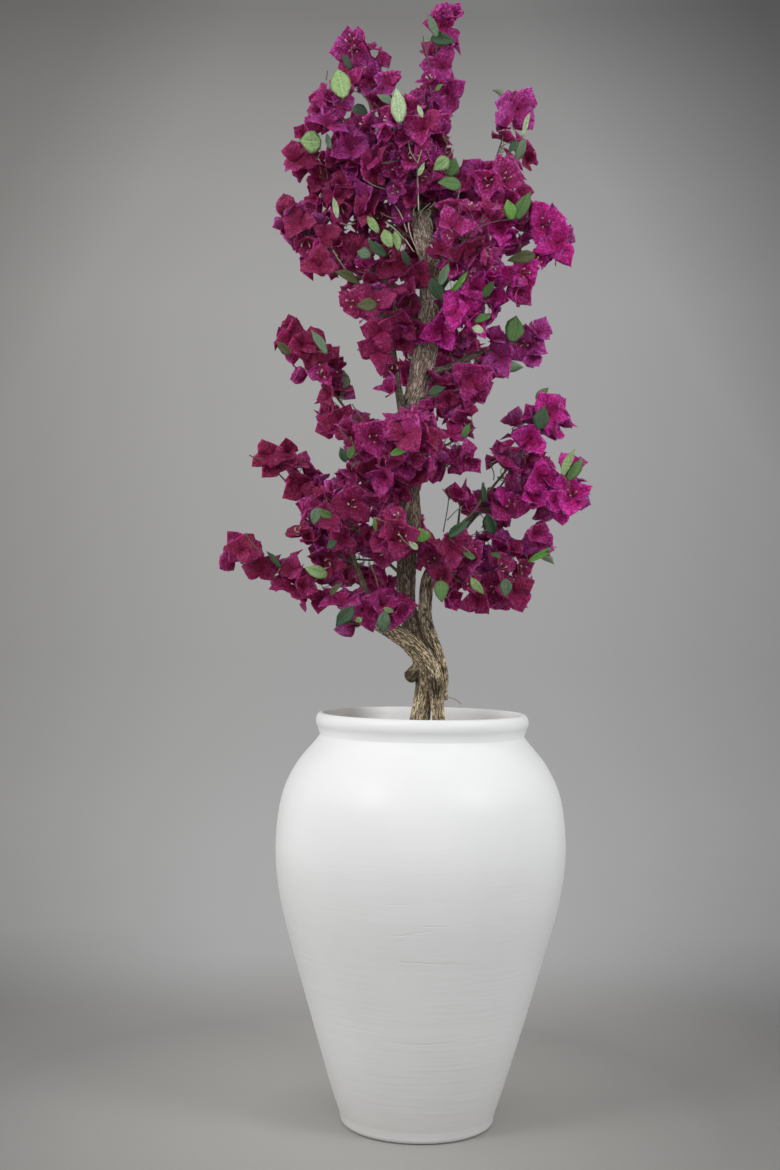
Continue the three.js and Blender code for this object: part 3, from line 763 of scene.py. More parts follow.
def grow(spray):
    """A spray's side twigs, from its foot to its tip, each with the flower on its end."""
    roll = dice(spray.index + 1)
    count = max(fewest_twigs, round(spray.length * spray.spread / area_per_twig))
    phase = roll() * 2 * math.pi
    step = (1 - bare_start) / count
    for k in range(count):
        u = bare_start + step * (k + 0.4)
        start, along = spray.point(u), spray.tangent(u)
        outward, _ = facing_axes(along, phase + k * golden_turn)
        swell = 0.5 + 0.5 * math.sin(math.pi * (u - bare_start) / (1 - bare_start))
        shorter = short_twig if k % 2 else 1
        length = spray.spread * swell * shorter * (0.8 + 0.4 * roll())
        end = start + along * math.cos(twig_lean) * length + outward * math.sin(twig_lean) * length
        jitter = np.array([roll(), roll(), roll()]) - 0.5
        aim = unit(outward * 0.7 + along * 0.45 + jitter * 0.8 + (0, 0, 0.2))
        spin, size = roll() * 2 * math.pi, 0.85 + 0.3 * roll()
        yield k, u, start, end, along, outward, aim, spin, size


stem_points = np.array([(*point, spray.index) for spray in sprays for point in spray.checks[3:]])
stem_seen = np.array([seen_at(point[:3]) for point in stem_points])


def nearest_stem(x, z, further=0):
    """The spray whose stem appears nearest to a place on that plane, and the point of it there."""
    off = np.hypot(stem_seen[:, 0] - x, stem_seen[:, 1] - z)
    nearest = stem_points[(off + further).argmin()]
    return sprays[int(nearest[3])], nearest[:3]


# Large open flowers stand at the front: each one's place on the same upright plane.
large_flowers = [
    (22, 2003), (18, 1932), (30, 1877), (-142, 1959), (-108, 1905), (-184, 1827), (-143, 1778),
    (-241, 1758), (-19, 1815), (162, 1850), (92, 1717), (143, 1725), (212, 1642), (236, 1608),
    (130, 1641), (49, 1640), (166, 1539), (-241, 1640), (-198, 1563), (-67, 1565), (-97, 1495),
    (70, 1489), (27, 1442), (-86, 1404), (179, 1419), (133, 1393), (79, 1352), (232, 1293),
    (190, 1247), (-44, 1258), (-95, 1245), (268, 1146), (211, 1174), (63, 1209), (155, 1124),
    (-92, 1148), (-134, 1120), (204, 1059), (-45, 1063), (50, 1044), (-274, 1195), (-229, 1152),
    (-332, 1039), (-58, 936), (-109, 925), (-234, 974), (130, 972), (169, 965), (-205, 1399),
    (-244, 1424), (-158, 1275), (8, 1186), (-173, 1074), (102, 1023),
]
front_roll = dice(61)
large_gap, large_front = 26, -250
for x, z in large_flowers:
    spray, start = nearest_stem(x, z, 0.15 * stem_points[:, 1])
    heart = placed_at(x, z, max(start[1] - 0.6 * spray.spread, large_front))
    aim = unit(np.array([front_roll() - 0.5, -1.0, front_roll() - 0.4]))
    size = large + 0.12 * front_roll()
    end = heart - aim * heart_reach * size
    try_flower(spray, start, end, aim, front_roll() * full_turn, size, large_gap, False, 0)

# Then the flower on each spray's tip, and those on its side twigs, one spray after another.
plans = [list(grow(spray)) for spray in sprays]
tip_gap, side_gap, fine_gap = 20, 22, 23
tip_stalk = 12
for spray in sprays:
    start, way = spray.point(0.96), spray.tangent(1)
    aim = unit(way + 0.8 * facing_axes(way, spray.index)[0])
    try_flower(spray, start, spray.tip + way * tip_stalk, aim, spray.index, 0.95, tip_gap)
for k in range(max(map(len, plans))):
    for spray, plan in zip(sprays, plans):
        if k < len(plan):
            _, u, start, end, along, outward, aim, spin, size = plan[k]
            try_flower(spray, start, end, aim, spin, size, side_gap)

# Each side twig carries two finer ones, and the stem itself short ones between the side twigs.
fine_roll = dice(77)
fork_shares = (0.62, 0.34)
short_twig_spacing = 13


def random_way():
    return np.array([fine_roll() - 0.5, fine_roll() - 0.5, fine_roll() - 0.5])


for level, share in enumerate(fork_shares):
    for spray, plan in zip(sprays, plans):
        for k, u, start, end, along, outward, aim, spin, size in plan:
            turn = (k + level * 1.7) * golden_turn * 1.3
            across, _ = facing_axes(unit(end - start), turn)
            fork = start + (end - start) * share
            length = min(34, 16 + 0.35 * np.linalg.norm(end - start)) * (0.8 + 0.4 * fine_roll())
            way = unit(across + 0.5 * unit(end - start) + 0.3 * random_way())
            fine_aim = unit(way + 0.4 * aim + 0.6 * random_way() + (0, 0, 0.1))
            fine_size = 0.8 + 0.3 * fine_roll()
            end_of_it, fine_spin = fork + way * length, fine_roll() * full_turn
            try_flower(spray, fork, end_of_it, fine_aim, fine_spin, fine_size, fine_gap)
for spray in sprays:
    count = round(spray.length / short_twig_spacing)
    for k in range(count):
        u = 0.16 + 0.84 * (k + fine_roll()) / count
        along = spray.tangent(u)
        outward, _ = facing_axes(along, (k * 2 + 1) * golden_turn)
        way = unit(outward + 0.5 * along)
        start = spray.point(u)
        end = start + way * (12 + 0.3 * spray.spread * fine_roll())
        aim = unit(outward + 0.4 * along + 0.7 * random_way())
        spin, size = fine_roll() * full_turn, 0.8 + 0.25 * fine_roll()
        try_flower(spray, start, end, aim, spin, size, fine_gap)

# More flowers where the crown is fullest from the front, on twigs of their own from the nearest
# stem: a place on the same upright plane, and how far before that stem the flower stands.
added_flowers = [
    (-118, 1966, 10), (-92, 1938, 12), (-80, 1895, 24), (-20, 1552, 40), (8, 1508, 44),
    (-200, 1723, 10), (-250, 1446, 8), (77, 1205, 10), (150, 1362, 8), (203, 1073, 10),
    (235, 1163, 10), (35, 2024, 14), (-151, 1974, 24), (-80, 1898, 34), (-229, 1801, 18),
    (181, 1759, 28), (167, 1700, 10), (-260, 1661, 14), (-131, 1597, 24), (-76, 1580, 34),
    (202, 1580, 18), (177, 1550, 28), (-21, 1537, 10), (9, 1519, 14), (166, 1517, 24),
    (120, 1433, 34), (-227, 1413, 18), (194, 1393, 28), (-176, 1385, 10), (-69, 1335, 14),
    (-13, 1288, 24), (-174, 1264, 34), (-254, 1215, 18), (-290, 1211, 28), (76, 1205, 10),
    (266, 1201, 14), (58, 1139, 34), (252, 1120, 18), (-336, 1038, 28), (48, 1478, 44),
    (-20, 1003, 10), (-221, 971, 14), (50, 953, 24), (97, 950, 34), (-188, 946, 18),
    (-74, 940, 28), (-45, 926, 10),
]
added_gap, added_margin, added_front = 17, 6, -255
for x, z, before in added_flowers:
    spray, start = nearest_stem(x, z)
    size = 0.85 + 0.25 * fine_roll()
    for further in (0, 22, 44, 66):
        heart = placed_at(x, z, max(start[1] - before - further, added_front))
        aim = unit(unit(heart - start) * 0.5 + (0, -0.7, 0.15) + 0.7 * random_way())
        end = heart - aim * heart_reach * size
        spin = fine_roll() * full_turn
        if try_flower(spray, start, end, aim, spin, size, added_gap, False, added_margin):
            break

# These stand right before the main stem and hide parts of it: a place on that plane, and a depth.
trunk_flowers = [
    (-18, 1546, -42), (-36, 1518, -38), (-38, 1490, -36), (-24, 1440, -40), (4, 1434, -44),
    (28, 1450, -34), (-46, 1466, -30), (-46, 1424, -24), (26, 1628, -34), (24, 1592, -38),
    (36, 1556, -30), (4, 1302, -44), (-16, 1284, -48),
]
trunk_gap = 15
for x, z, y in trunk_flowers:
    spray, start = nearest_stem(x, z)
    aim = unit(np.array([0.005 * x, -0.9, 0.1]) + 0.7 * random_way())
    end = placed_at(x, z, y) - aim * heart_reach
    try_flower(spray, start, end, aim, fine_roll() * full_turn, 0.95, trunk_gap, False, 0)


def tube_lines(lines, radii, sides):
    """Many thin tubes at once: each line's points, and the radius at each point."""
    lines, radii = np.asarray(lines, float), np.asarray(radii, float)
    copies, rows = radii.shape
    along = np.gradient(lines, axis=1)
    along /= np.linalg.norm(along, axis=2, keepdims=True) + 1e-9
    first = along.mean(1)
    reference = np.where(np.abs(first[:, 2:3]) > 0.8, (1.0, 0.0, 0.0), (0.0, 0.0, 1.0))[:, None]
    side = np.cross(along, np.broadcast_to(reference, along.shape))
    side /= np.linalg.norm(side, axis=2, keepdims=True) + 1e-9
    over = np.cross(along, side)
    turn = np.arange(sides) * 2 * math.pi / sides
    around = side[:, :, None] * np.cos(turn)[:, None] + over[:, :, None] * np.sin(turn)[:, None]
    places = (lines[:, :, None] + around * radii[:, :, None, None]).reshape(copies, -1, 3)
    faces = []
    for row in range(rows - 1):
        for s in range(sides):
            a, b = row * sides + s, row * sides + (s + 1) % sides
            faces += [(a, b, b + sides), (a, b + sides, a + sides)]
    last = (rows - 1) * sides
    for s in range(1, sides - 1):
        faces += [(0, s + 1, s), (last, last + s, last + s + 1)]
    return places * mm, np.array(faces)


def bent_lines(starts, ends, rows, bend, seed):
    """Lines from start to end that bow aside a little."""
    starts, ends = np.asarray(starts), np.asarray(ends)
    roll = np.random.RandomState(seed)
    span = ends - starts
    bow = np.cross(span, roll.uniform(-1, 1, span.shape))
    u = np.linspace(0, 1, rows)[None, :, None]
    return starts[:, None] + span[:, None] * u + bow[:, None] / 100 * bend * 4 * u * (1 - u)


def wired(name, lines, radii, sides, materials, nodes=(), paints=None):
    """Keeps many thin wires as one piece; paints gives each line's own material by its number."""
    places, faces = tube_lines(lines, radii, sides)
    paint = None if paints is None else np.repeat(paints, len(faces))
    keep_piece(name, repeated(name, places, faces, paint), materials, nodes)


def coated(name, one, other, roughness, scale, detail, rough_coat=False):
    """Coated wire in two tones that run into each other."""
    middle = tuple((a + b) / 2 for a, b in zip(one, other))
    material, shader, place = new_finish(name, middle, roughness)
    mottled = cloudy(place, scale, detail)
    lay(shader, {"Base Color": blended(mottled, one, other)})
    if rough_coat:
        lay(shader, {"Normal": relief(mottled, 0.0005, 0.5)})
    return material


twig_brown = coated("twig_brown", (0.05, 0.045, 0.028), (0.14, 0.13, 0.075), 0.7, 160, 3.0, True)
twig_green = coated("twig_green", (0.13, 0.16, 0.07), (0.28, 0.30, 0.17), 0.6, 120, 2.0)
stem_radii = [np.linspace(3.1, 1.3, 12)] * len(sprays)
wired(
    "spray_stems", [[spray.point(u) for u in np.linspace(0, 1, 12)] for spray in sprays],
    stem_radii, 6, [twig_brown], [spray.name for spray in sprays],
)
starts, ends = map(np.array, zip(*twigs))
twig_radii = [np.linspace(1.15, 0.75, 5)] * len(twigs)
wired("side_twigs", bent_lines(starts, ends, 5, 12, 3), twig_radii, 3, [twig_green])

# Bracts. Three broad pointed pieces of printed silk round each flower, heat-formed into a cup, with
# a crease down the middle and a wavy edge. The back is paler than the face.


def blade_template(rows, columns):
    """A closed thin blade: rows of (share of its length, half width), and the columns across it.
    Its corners hold the place across, the share along, and +1 or -1 for face and back."""
    blade = bmesh.new()
    bmesh.ops.create_grid(blade, x_segments=len(columns) - 1, y_segments=len(rows) - 1, size=0.5)
    back = bmesh.ops.duplicate(blade, geom=blade.verts[:] + blade.edges[:] + blade.faces[:])["geom"]
    back_faces = [part for part in back if isinstance(part, bmesh.types.BMFace)]
    bmesh.ops.reverse_faces(blade, faces=back_faces)
    behind = {part for part in back if isinstance(part, bmesh.types.BMVert)}
    for face in back_faces:
        face.material_index = 1
    for corner in blade.verts:
        column = round((corner.co.x + 0.5) * (len(columns) - 1))
        row = round((corner.co.y + 0.5) * (len(rows) - 1))
        share, width = rows[row]
        rim = column in (0, len(columns) - 1) or row in (0, len(rows) - 1)
        side = 0 if rim else (-1 if corner in behind else 1)
        corner.co = (columns[column] * width, share, side * 0.01)
    bmesh.ops.remove_doubles(blade, verts=blade.verts, dist=1e-5)
    bmesh.ops.triangulate(blade, faces=blade.faces)
    sides = np.array([face.material_index for face in blade.faces])
    corners, faces = template_of(blade)
    corners[:, 2] = np.sign(np.round(corners[:, 2], 4))
    return corners, faces, sides


def formed_blades(corners, thick, form):
    """Bends many copies of a blade: each leaves its base along its axis and turns toward radial,
    by the angle start at its base and end at its tip. The form holds an array for each word."""
    x, t, side = corners.T
    rows, row_of = np.unique(np.round(t, 5), return_inverse=True)
    middle = np.concatenate([[0], (rows[1:] + rows[:-1]) / 2])
    steps = np.concatenate([[0], np.diff(rows)])

    def each(word):
        return np.asarray(form[word], float)[:, None]

    turn = each("start") + (each("end") - each("start")) * middle
    out = np.cumsum(np.sin(turn) * steps, axis=1)[:, row_of, None]
    rise = np.cumsum(np.cos(turn) * steps, axis=1)[:, row_of, None]
    here = (each("start") + (each("end") - each("start")) * rows)[:, row_of, None]
    axis, radial = np.asarray(form["axis"])[:, None], np.asarray(form["radial"])[:, None]
    lateral = np.cross(axis, radial)
    normal = np.sin(here) * axis - np.cos(here) * radial
    edge = (np.abs(x) / np.abs(x).max()) ** 1.5 * np.sin(math.pi * t) ** 0.5
    wave = np.sin(2 * math.pi * (1.7 * t + each("phase")) + np.sign(x) * 1.3)
    lobing = np.sin(2 * math.pi * (1.3 * t + each("phase") * 2) + np.sign(x) * 2.1)
    lift = each("cup") * x**2 + each("crease") * np.abs(x) + each("ripple") * wave * edge
    wide = each("broad") * x * (1 + each("lobe") * lobing)
    twist = each("twist") * t
    over = wide * np.cos(twist) - lift * np.sin(twist) + each("swerve") * t**2
    lift = wide * np.sin(twist) + lift * np.cos(twist)
    places = out * radial + rise * axis + over[..., None] * lateral + lift[..., None] * normal
    places = np.asarray(form["base"])[:, None] + places * each("length")[..., None]
    return (places + side[:, None] * thick * normal) * mm


def printed_on(corners, lots):
    """Each corner's place on its own blade, and the blade's lot, for the printed pattern."""
    places = np.tile(corners[:, :2], (len(lots), 1, 1))
    return np.dstack([places, np.tile(np.array(lots)[:, None], (1, len(corners)))])


def stripes(value, width):
    """1 on thin lines, one to each whole step of a value, and 0 between them."""
    return abs(value.maths("FRACT", value) - 0.5) < width


def dimmed(colour, share):
    sockets = {0: colour, "Scale": share}
    return colour.node("ShaderNodeVectorMath", {"operation": "SCALE"}, sockets)


def printed_places(place):
    """Across a blade from its rib, along it from its base, and the blade's own lot."""
    printed = kept_on(place, "print", 1)
    return abs(part_of(printed, 0)), part_of(printed, 1), part_of(printed, 2)


bract_rows = [
    (0, 0.08), (0.10, 0.30), (0.24, 0.44), (0.41, 0.48),
    (0.59, 0.43), (0.76, 0.27), (0.90, 0.10), (1, 0),
]
bract_corners, bract_faces, bract_sides = blade_template(bract_rows, [-1, -0.55, 0, 0.55, 1])
bract_length = 37
silk_thickness = 0.35

# Each silk: its name, its colour, and how strongly its pale spots are printed.
silk_colours = [
    ("silk_wine", (0.200, 0.003, 0.050), 0.3),
    ("silk_deep", (0.225, 0.003, 0.070), 0.4),
    ("silk_magenta", (0.265, 0.003, 0.108), 0.8),
    ("silk_plum", (0.230, 0.005, 0.122), 0.8),
    ("silk_hot", (0.410, 0.003, 0.190), 0.7),
    ("silk_rose", (0.310, 0.028, 0.190), 0.8),
    # The backs are paler than the faces, and made paler still to stand in for light through the
    # silk in the crown's shade: painted light.
    ("silk_back_deep", (0.275, 0.014, 0.118), 0.5),
    ("silk_back_pale", (0.310, 0.055, 0.205), 0.7),
]
silk_paints = []
silk_steady = {
    "Sheen Weight": 0.05, "Sheen Roughness": 0.5, "Sheen Tint": (0.9, 0.5, 0.75, 1),
    "Specular IOR Level": 0.18, "Subsurface Weight": 0.85, "Subsurface Radius": (1.0, 0.2, 0.5),
    "Subsurface Scale": 0.002,
}
for name, colour, printing in silk_colours:
    material, shader, place = new_finish(name, colour, 0.68, silk_steady)
    across, along, lot = printed_places(place)
    crush = cloudy(place, 75, 4.0)
    speckle = cloudy(place, 260, 5.0)
    cells = place.node(
        "ShaderNodeTexVoronoi", {"feature": "DISTANCE_TO_EDGE"}, {"Vector": place, "Scale": 150.0},
    )
    veins = stripes((along - across * 1.1) * 5.5 + lot, 0.08) * (along > 0.06)
    red, green, blue = colour
    wine = (red * 0.45 + 0.085, 0.002, blue * 0.25 + 0.024)
    pale = (red * 1.3 + 0.08, green + 0.09, blue * 1.8 + 0.12)
    outward = between(along + lot * 0.2 + (crush - 0.5) * 0.5, 0.08, 0.75)
    # Lighter toward the edges and tip: print, and painted sheen on the silk's rims.
    rim = between(along + across * 0.9, 0.35, 1.05)
    spots = between(speckle * 0.65 + crush * 0.35, 0.50, 0.57)
    uneven = speckle * 1.5 + crush * 1.0 - 0.25
    net = 1 - between(cells, 0.02, 0.09)
    tone = blended(spots * rim * printing, blended(outward, wine, colour), pale)
    tone = blended(net * 0.35 * outward, tone, pale)
    tone = blended(veins * 0.15, tone, pale)
    lay(shader, {
        "Base Color": dimmed(tone, uneven),
        "Normal": relief(crush * 2.5 + speckle * 0.8 + net * 0.3, 0.0016, 0.9),
    })
    silk_paints.append(material)
silk_names = [material.name for material in silk_paints]
hot = silk_names.index("silk_hot")
back_deep, back_pale = silk_names.index("silk_back_deep"), silk_names.index("silk_back_pale")

# How often the flowers take each colour, by the side of the crown that their spray is on.
tint_shares = {
    "left": (0.34, 0.44, 0.14, 0.06, 0.0, 0.02),
    "right": (0.08, 0.26, 0.40, 0.10, 0.08, 0.08),
    "top": (0.02, 0.18, 0.22, 0.48, 0.02, 0.08),
    "low": (0.38, 0.42, 0.14, 0.02, 0.0, 0.04),
    "low_right": (0.26, 0.38, 0.24, 0.02, 0.06, 0.04),
}


low_below, top_above, right_beyond = 1400, 1750, 60


def tint_of(spray, chance):
    x, _, z = spray.tip
    if z < low_below:
        side = "low_right" if x > right_beyond else "low"
    elif x > right_beyond:
        side = "right"
    else:
        side = "top" if z > top_above else "left"
    return int(np.searchsorted(np.cumsum(tint_shares[side]), min(chance, 0.999)))


bract_form = {word: [] for word in (
    "base", "axis", "radial", "length", "broad", "start", "end", "cup", "crease", "ripple", "phase",
    "lobe", "twist", "swerve",
)}
bract_paint, lots, floret_roots, floret_ways = [], [], [], []
form_roll = dice(211)
hot_tip = 62
plainer = (0, 0, 1, 2, 2, 2)


def spread_about(middle, reach):
    return middle + reach * (2 * form_roll() - 1)


for centre, aim, spin, size, index in flowers:
    side, over = facing_axes(aim, spin)
    opened = 0.15 + 0.85 * form_roll()
    chance = form_roll()
    spray = sprays[index]
    tint = silk_names.index(spray.silk)
    at_tip = tint == hot and np.linalg.norm(centre - spray.tip) < hot_tip
    if size >= large:
        opened = 0.65 + 0.35 * opened
    elif chance > 0.5 and not at_tip:
        tint = tint_of(spray, (chance - 0.5) / 0.5)
    with_florets = opened > 0.35 and form_roll() < 0.33
    for k in range(3):
        turn = k * 2 * math.pi / 3 + spread_about(0, 0.25)
        radial = side * math.cos(turn) + over * math.sin(turn)
        start = spread_about(0.3 + 0.75 * opened, 0.15)
        bract = {
            "base": centre - aim, "axis": aim, "radial": radial,
            "length": bract_length * size * spread_about(1, 0.12), "broad": spread_about(1, 0.2),
            "start": start, "end": start + spread_about(0.22 + 0.4 * opened, 0.45),
            "cup": spread_about(0.38, 0.34), "crease": spread_about(0.14, 0.12),
            "ripple": spread_about(0.08, 0.04), "phase": form_roll(),
            "lobe": spread_about(0.14, 0.06), "twist": spread_about(0, 0.5),
            "swerve": spread_about(0, 0.16),
        }
        for word, value in bract.items():
            bract_form[word].append(value)
        front = tint if form_roll() < 0.8 else plainer[tint]
        back = back_pale if form_roll() < 0.15 or tint == hot else back_deep
        bract_paint.append(np.where(bract_sides == 0, front, back))
        lots.append(form_roll())
        if with_florets:
            floret_roots.append(centre + radial * 1.6)
            floret_ways.append(unit(aim + radial * (0.25 + 0.3 * form_roll()) + 0.15 * over))
bract_places = formed_blades(bract_corners, silk_thickness, bract_form)
bract_prints = printed_on(bract_corners, lots)
bract_paint = np.array(bract_paint)
heights = np.array(bract_form["base"])[:, 2]
for name, low, high in (
    ("bracts_low", 0, 1290), ("bracts_middle", 1290, 1590), ("bracts_top", 1590, 9e9),
):
    chosen = (heights >= low) & (heights < high)
    mesh = repeated(
        name, bract_places[chosen], bract_faces, bract_paint[chosen], bract_prints[chosen],
    )
    keep_piece(name, mesh, silk_paints)

# Florets. Small tubes on pale green stalks in the middle of the open flowers, of coated wire with a
# flared plastic end.
floret_length = 18
floret_radii = [0.6, 0.75, 0.8, 1.0, 1.8]
floret_roots = np.array(floret_roots)
floret_ends = floret_roots + np.array(floret_ways) * floret_length
lines = bent_lines(floret_roots, floret_ends, len(floret_radii), 30, 8)
places, faces = tube_lines(lines, [floret_radii] * len(lines), 3)
floret_green = coated("floret_green", (0.20, 0.24, 0.10), (0.34, 0.20, 0.20), 0.6, 60, 2.0)
floret_cream = coated("floret_cream", (0.55, 0.52, 0.38), (0.42, 0.26, 0.28), 0.6, 60, 2.0)
row_of_face = np.array([min(face) // 3 for face in faces])
floret_paint = np.tile(np.where(row_of_face >= 3, 1, 0), len(lines))
mesh = repeated("florets", places, faces, floret_paint)
keep_piece("florets", mesh, [floret_green, floret_cream])

# Leaves. Printed silk, pointed ovals folded along a moulded rib, on short wire stalks. They come in
# several greens, pale to olive and blue-green, and the pale ones are darker beside the rib.
leaf_rows = [(0, 0.03), (0.1, 0.14), (0.28, 0.24), (0.46, 0.26), (0.66, 0.21), (0.86, 0.09), (1, 0)]
leaf_columns = [-1, -0.55, -0.06, 0.06, 0.55, 1]
leaf_corners, leaf_faces, leaf_sides = blade_template(leaf_rows, leaf_columns)
leaf_half_width = 0.26
leaf_length = 48
leaf_colours = {
    "leaf_pale": ((0.42, 0.53, 0.33), (0.20, 0.31, 0.15)),
    "leaf_light": ((0.28, 0.41, 0.17), (0.12, 0.22, 0.08)),
    "leaf_bright": ((0.14, 0.33, 0.06), (0.09, 0.22, 0.04)),
    "leaf_mid": ((0.095, 0.19, 0.055), (0.06, 0.13, 0.04)),
    "leaf_dark": ((0.045, 0.095, 0.045), (0.028, 0.06, 0.03)),
    "leaf_olive": ((0.095, 0.10, 0.04), (0.06, 0.065, 0.025)),
    "leaf_grey": ((0.13, 0.20, 0.12), (0.08, 0.14, 0.08)),
    "leaf_back": ((0.22, 0.31, 0.19), (0.16, 0.24, 0.13)),
}
leaf_paints = []
for name, (colour, by_rib) in leaf_colours.items():
    material, shader, place = new_finish(name, colour, 0.6, {"Specular IOR Level": 0.35})
    across, along, lot = printed_places(place)
    blotches = cloudy(place, 260, 4.0)
    weave = cloudy(place, 600, 2.0)
    veins = stripes((along - across * 1.4) * 7, 0.07)
    rib = 1 - between(across, 0.006, 0.022)
    beside_rib = blotches * 3.2 - 1.2 - across * 3.0 + lot * 0.5
    tone = blended(beside_rib, colour, by_rib)
    light = tuple(1.5 * channel + 0.02 for channel in colour)
    lay(shader, {
        "Base Color": blended(veins * 0.35 + rib * 0.45, tone, light),
        "Normal": relief(weave + veins * 0.5 - rib * 0.8, 0.0008, 0.7),
    })
    leaf_paints.append(material)
leaf_tones = list(leaf_colours)
back_tone = leaf_tones.index("leaf_back")

# The leaves of the front: where their stalk and their tip appear on the upright plane, and how
# broad they are.
front_leaves = {
    "leaf_pale": [
        (-56, 1821, -58, 1887, 27), (-14, 1833, -25, 1855, 9), (-21, 1725, -11, 1751, 9),
        (-168, 1644, -172, 1683, 11), (-12, 1041, -30, 1052, 11), (170, 1799, 178, 1852, 9),
        (103, 1441, 81, 1448, 15),
    ],
    "leaf_light": [
        (-159, 1866, -170, 1924, 37), (-199, 1785, -238, 1784, 40), (33, 1760, 11, 1735, 24),
        (-91, 1620, -115, 1650, 16), (-67, 1593, -89, 1627, 22), (-56, 1587, -60, 1627, 15),
        (-176, 990, -218, 1004, 22), (-112, 912, -125, 908, 11), (-72, 934, -56, 922, 11),
        (86, 990, 106, 957, 16), (251, 1178, 269, 1228, 16),
    ],
    "leaf_bright": [
        (9, 1884, 24, 1892, 9), (-3, 1054, -9, 1080, 31), (190, 1020, 244, 1045, 13),
        (153, 1647, 147, 1685, 22), (44, 1514, 71, 1553, 11), (-65, 1212, -34, 1227, 13),
        (-93, 1099, -89, 1071, 7),
    ],
    "leaf_mid": [
        (35, 1726, 51, 1757, 26), (58, 1710, 15, 1709, 26), (68, 1245, 82, 1271, 15),
        (155, 1422, 169, 1470, 35), (200, 1318, 222, 1341, 15), (259, 1171, 291, 1208, 22),
        (93, 1026, 69, 1035, 11), (140, 1027, 120, 1036, 9), (29, 985, 37, 947, 26),
        (161, 1647, 182, 1699, 24), (101, 1504, 122, 1533, 16), (116, 1469, 83, 1461, 15),
        (-140, 1204, -133, 1232, 15), (-194, 1110, -172, 1094, 15),
    ],
    "leaf_dark": [
        (-1, 1979, 43, 1978, 24), (-148, 1919, -162, 1950, 13), (-76, 1578, -115, 1601, 18),
        (-35, 1560, -50, 1589, 13), (3, 1325, 33, 1342, 16), (210, 1262, 211, 1306, 29),
        (110, 1127, 102, 1165, 11), (43, 1064, 79, 1096, 18), (125, 1071, 117, 1109, 27),
        (161, 1791, 148, 1769, 15), (5, 1537, 28, 1492, 26), (-146, 1198, -155, 1226, 15),
        (-129, 934, -158, 898, 26), (-262, 1003, -288, 1034, 11), (-160, 1052, -180, 1043, 15),
    ],
    "leaf_olive": [
        (-169, 1547, -121, 1526, 18), (-93, 1490, -129, 1480, 24), (-251, 1393, -277, 1418, 15),
        (196, 1582, 145, 1576, 22), (-170, 955, -148, 977, 13),
    ],
    "leaf_grey": [
        (10, 1980, -9, 2023, 16), (-69, 1856, -98, 1877, 15), (-181, 1772, -192, 1803, 11),
        (-105, 1577, -131, 1586, 22), (-183, 1395, -206, 1443, 16), (150, 990, 147, 956, 22),
        (173, 1797, 163, 1751, 18), (22, 1524, 34, 1568, 16), (-194, 1114, -206, 1084, 20),
        (-70, 927, -74, 885, 24),
    ],
}
flower_seen = np.array([seen_at(place) for place in flower_places])
right_before, round_about, foremost = 22, 38, -262


def front_depth(x, z, room):
    """A depth just in front of the flowers that appear round a place, and the stem nearest."""
    gaps = np.hypot(flower_seen[:, 0] - x, flower_seen[:, 1] - z)
    fronts = flower_places[:, 1] - np.where(gaps < right_before, room + 10, room)
    if gaps.min() < round_about:
        depth = fronts[gaps < round_about].min()
    else:
        depth = nearest_stem(x, z)[1][1] - 6
    _, stem = nearest_stem(x, z, 0.4 * np.abs(stem_points[:, 1] - depth))
    return max(depth, foremost), stem


leaf_roll = dice(99)
stalks, lots, leaf_paint = [], [], []
leaf_form = {word: [] for word in bract_form}


def add_leaf(stalk_root, base, tip, facing, breadth, tone):
    span = tip - base
    way = unit(span)
    stalks.append((stalk_root, base + way))
    own = [leaf_roll() for _ in range(6)]
    leaf = {
        "base": base, "axis": unit(facing - way * (facing @ way)), "radial": way,
        "length": np.linalg.norm(span) * 1.03,
        "broad": breadth / np.linalg.norm(span) / 2 / leaf_half_width,
        "start": 1.35 + 0.2 * own[0], "end": 1.55 + 0.5 * own[1], "cup": 0.15 + 0.3 * own[2],
        "crease": 0.15 + 0.4 * own[3], "ripple": 0.02 + 0.03 * own[2], "phase": own[4],
        "lobe": 0.05, "twist": 0.5 * own[5] - 0.25, "swerve": 0.3 * own[4] - 0.15,
    }
    for word, value in leaf.items():
        leaf_form[word].append(value)
    leaf_paint.append(np.where(leaf_sides == 0, leaf_tones.index(tone), back_tone))
    lots.append(leaf_roll())


for tone, rows in front_leaves.items():
    for base_x, base_z, tip_x, tip_z, breadth in rows:
        depth, stem = front_depth((base_x + tip_x) / 2, (base_z + tip_z) / 2, 16)
        lean = 16 * (leaf_roll() - 0.5)
        base = placed_at(base_x, base_z, depth + lean)
        tip = placed_at(tip_x, tip_z, depth - lean)
        facing = unit(eye - base) + 0.5 * np.array([leaf_roll() - 0.5, 0, leaf_roll() - 0.2])
        add_leaf(stem, base, tip, facing, breadth, tone)

# The leaves behind and at the sides stand on the sprays' stems, one to every third side twig.
stalk_length, behind_front = 20, 25
leaf_room, leaf_margin = 8, 4
for spray, plan in zip(sprays, plans):
    step = (1 - bare_start) / len(plan)
    for k, u, start, end, along, outward, aim, spin, size in plan:
        root = spray.point(min(1.0, u + step / 2))
        way = unit(along - 0.9 * outward + (0, 0.4, 0))
        base = root + way * stalk_length
        tip = base + way * leaf_length * size
        if k % 3 or tip[1] < behind_front:
            continue
        if not clear_of_limbs(base, leaf_room) or in_opening(tip, leaf_margin):
            continue
        facing = facing_axes(way, spin)[0] + (0, 0, 0.5)
        tone = leaf_tones[1 + int(leaf_roll() * 6)]
        add_leaf(root, base, tip, facing, leaf_length * 0.5, tone)
mesh = repeated(
    "leaves", formed_blades(leaf_corners, silk_thickness, leaf_form), leaf_faces,
    np.array(leaf_paint), printed_on(leaf_corners, lots),
)
keep_piece("leaves", mesh, leaf_paints)
starts, ends = map(np.array, zip(*stalks))
stalk_radii = [np.linspace(1.0, 0.8, 5)] * len(stalks)
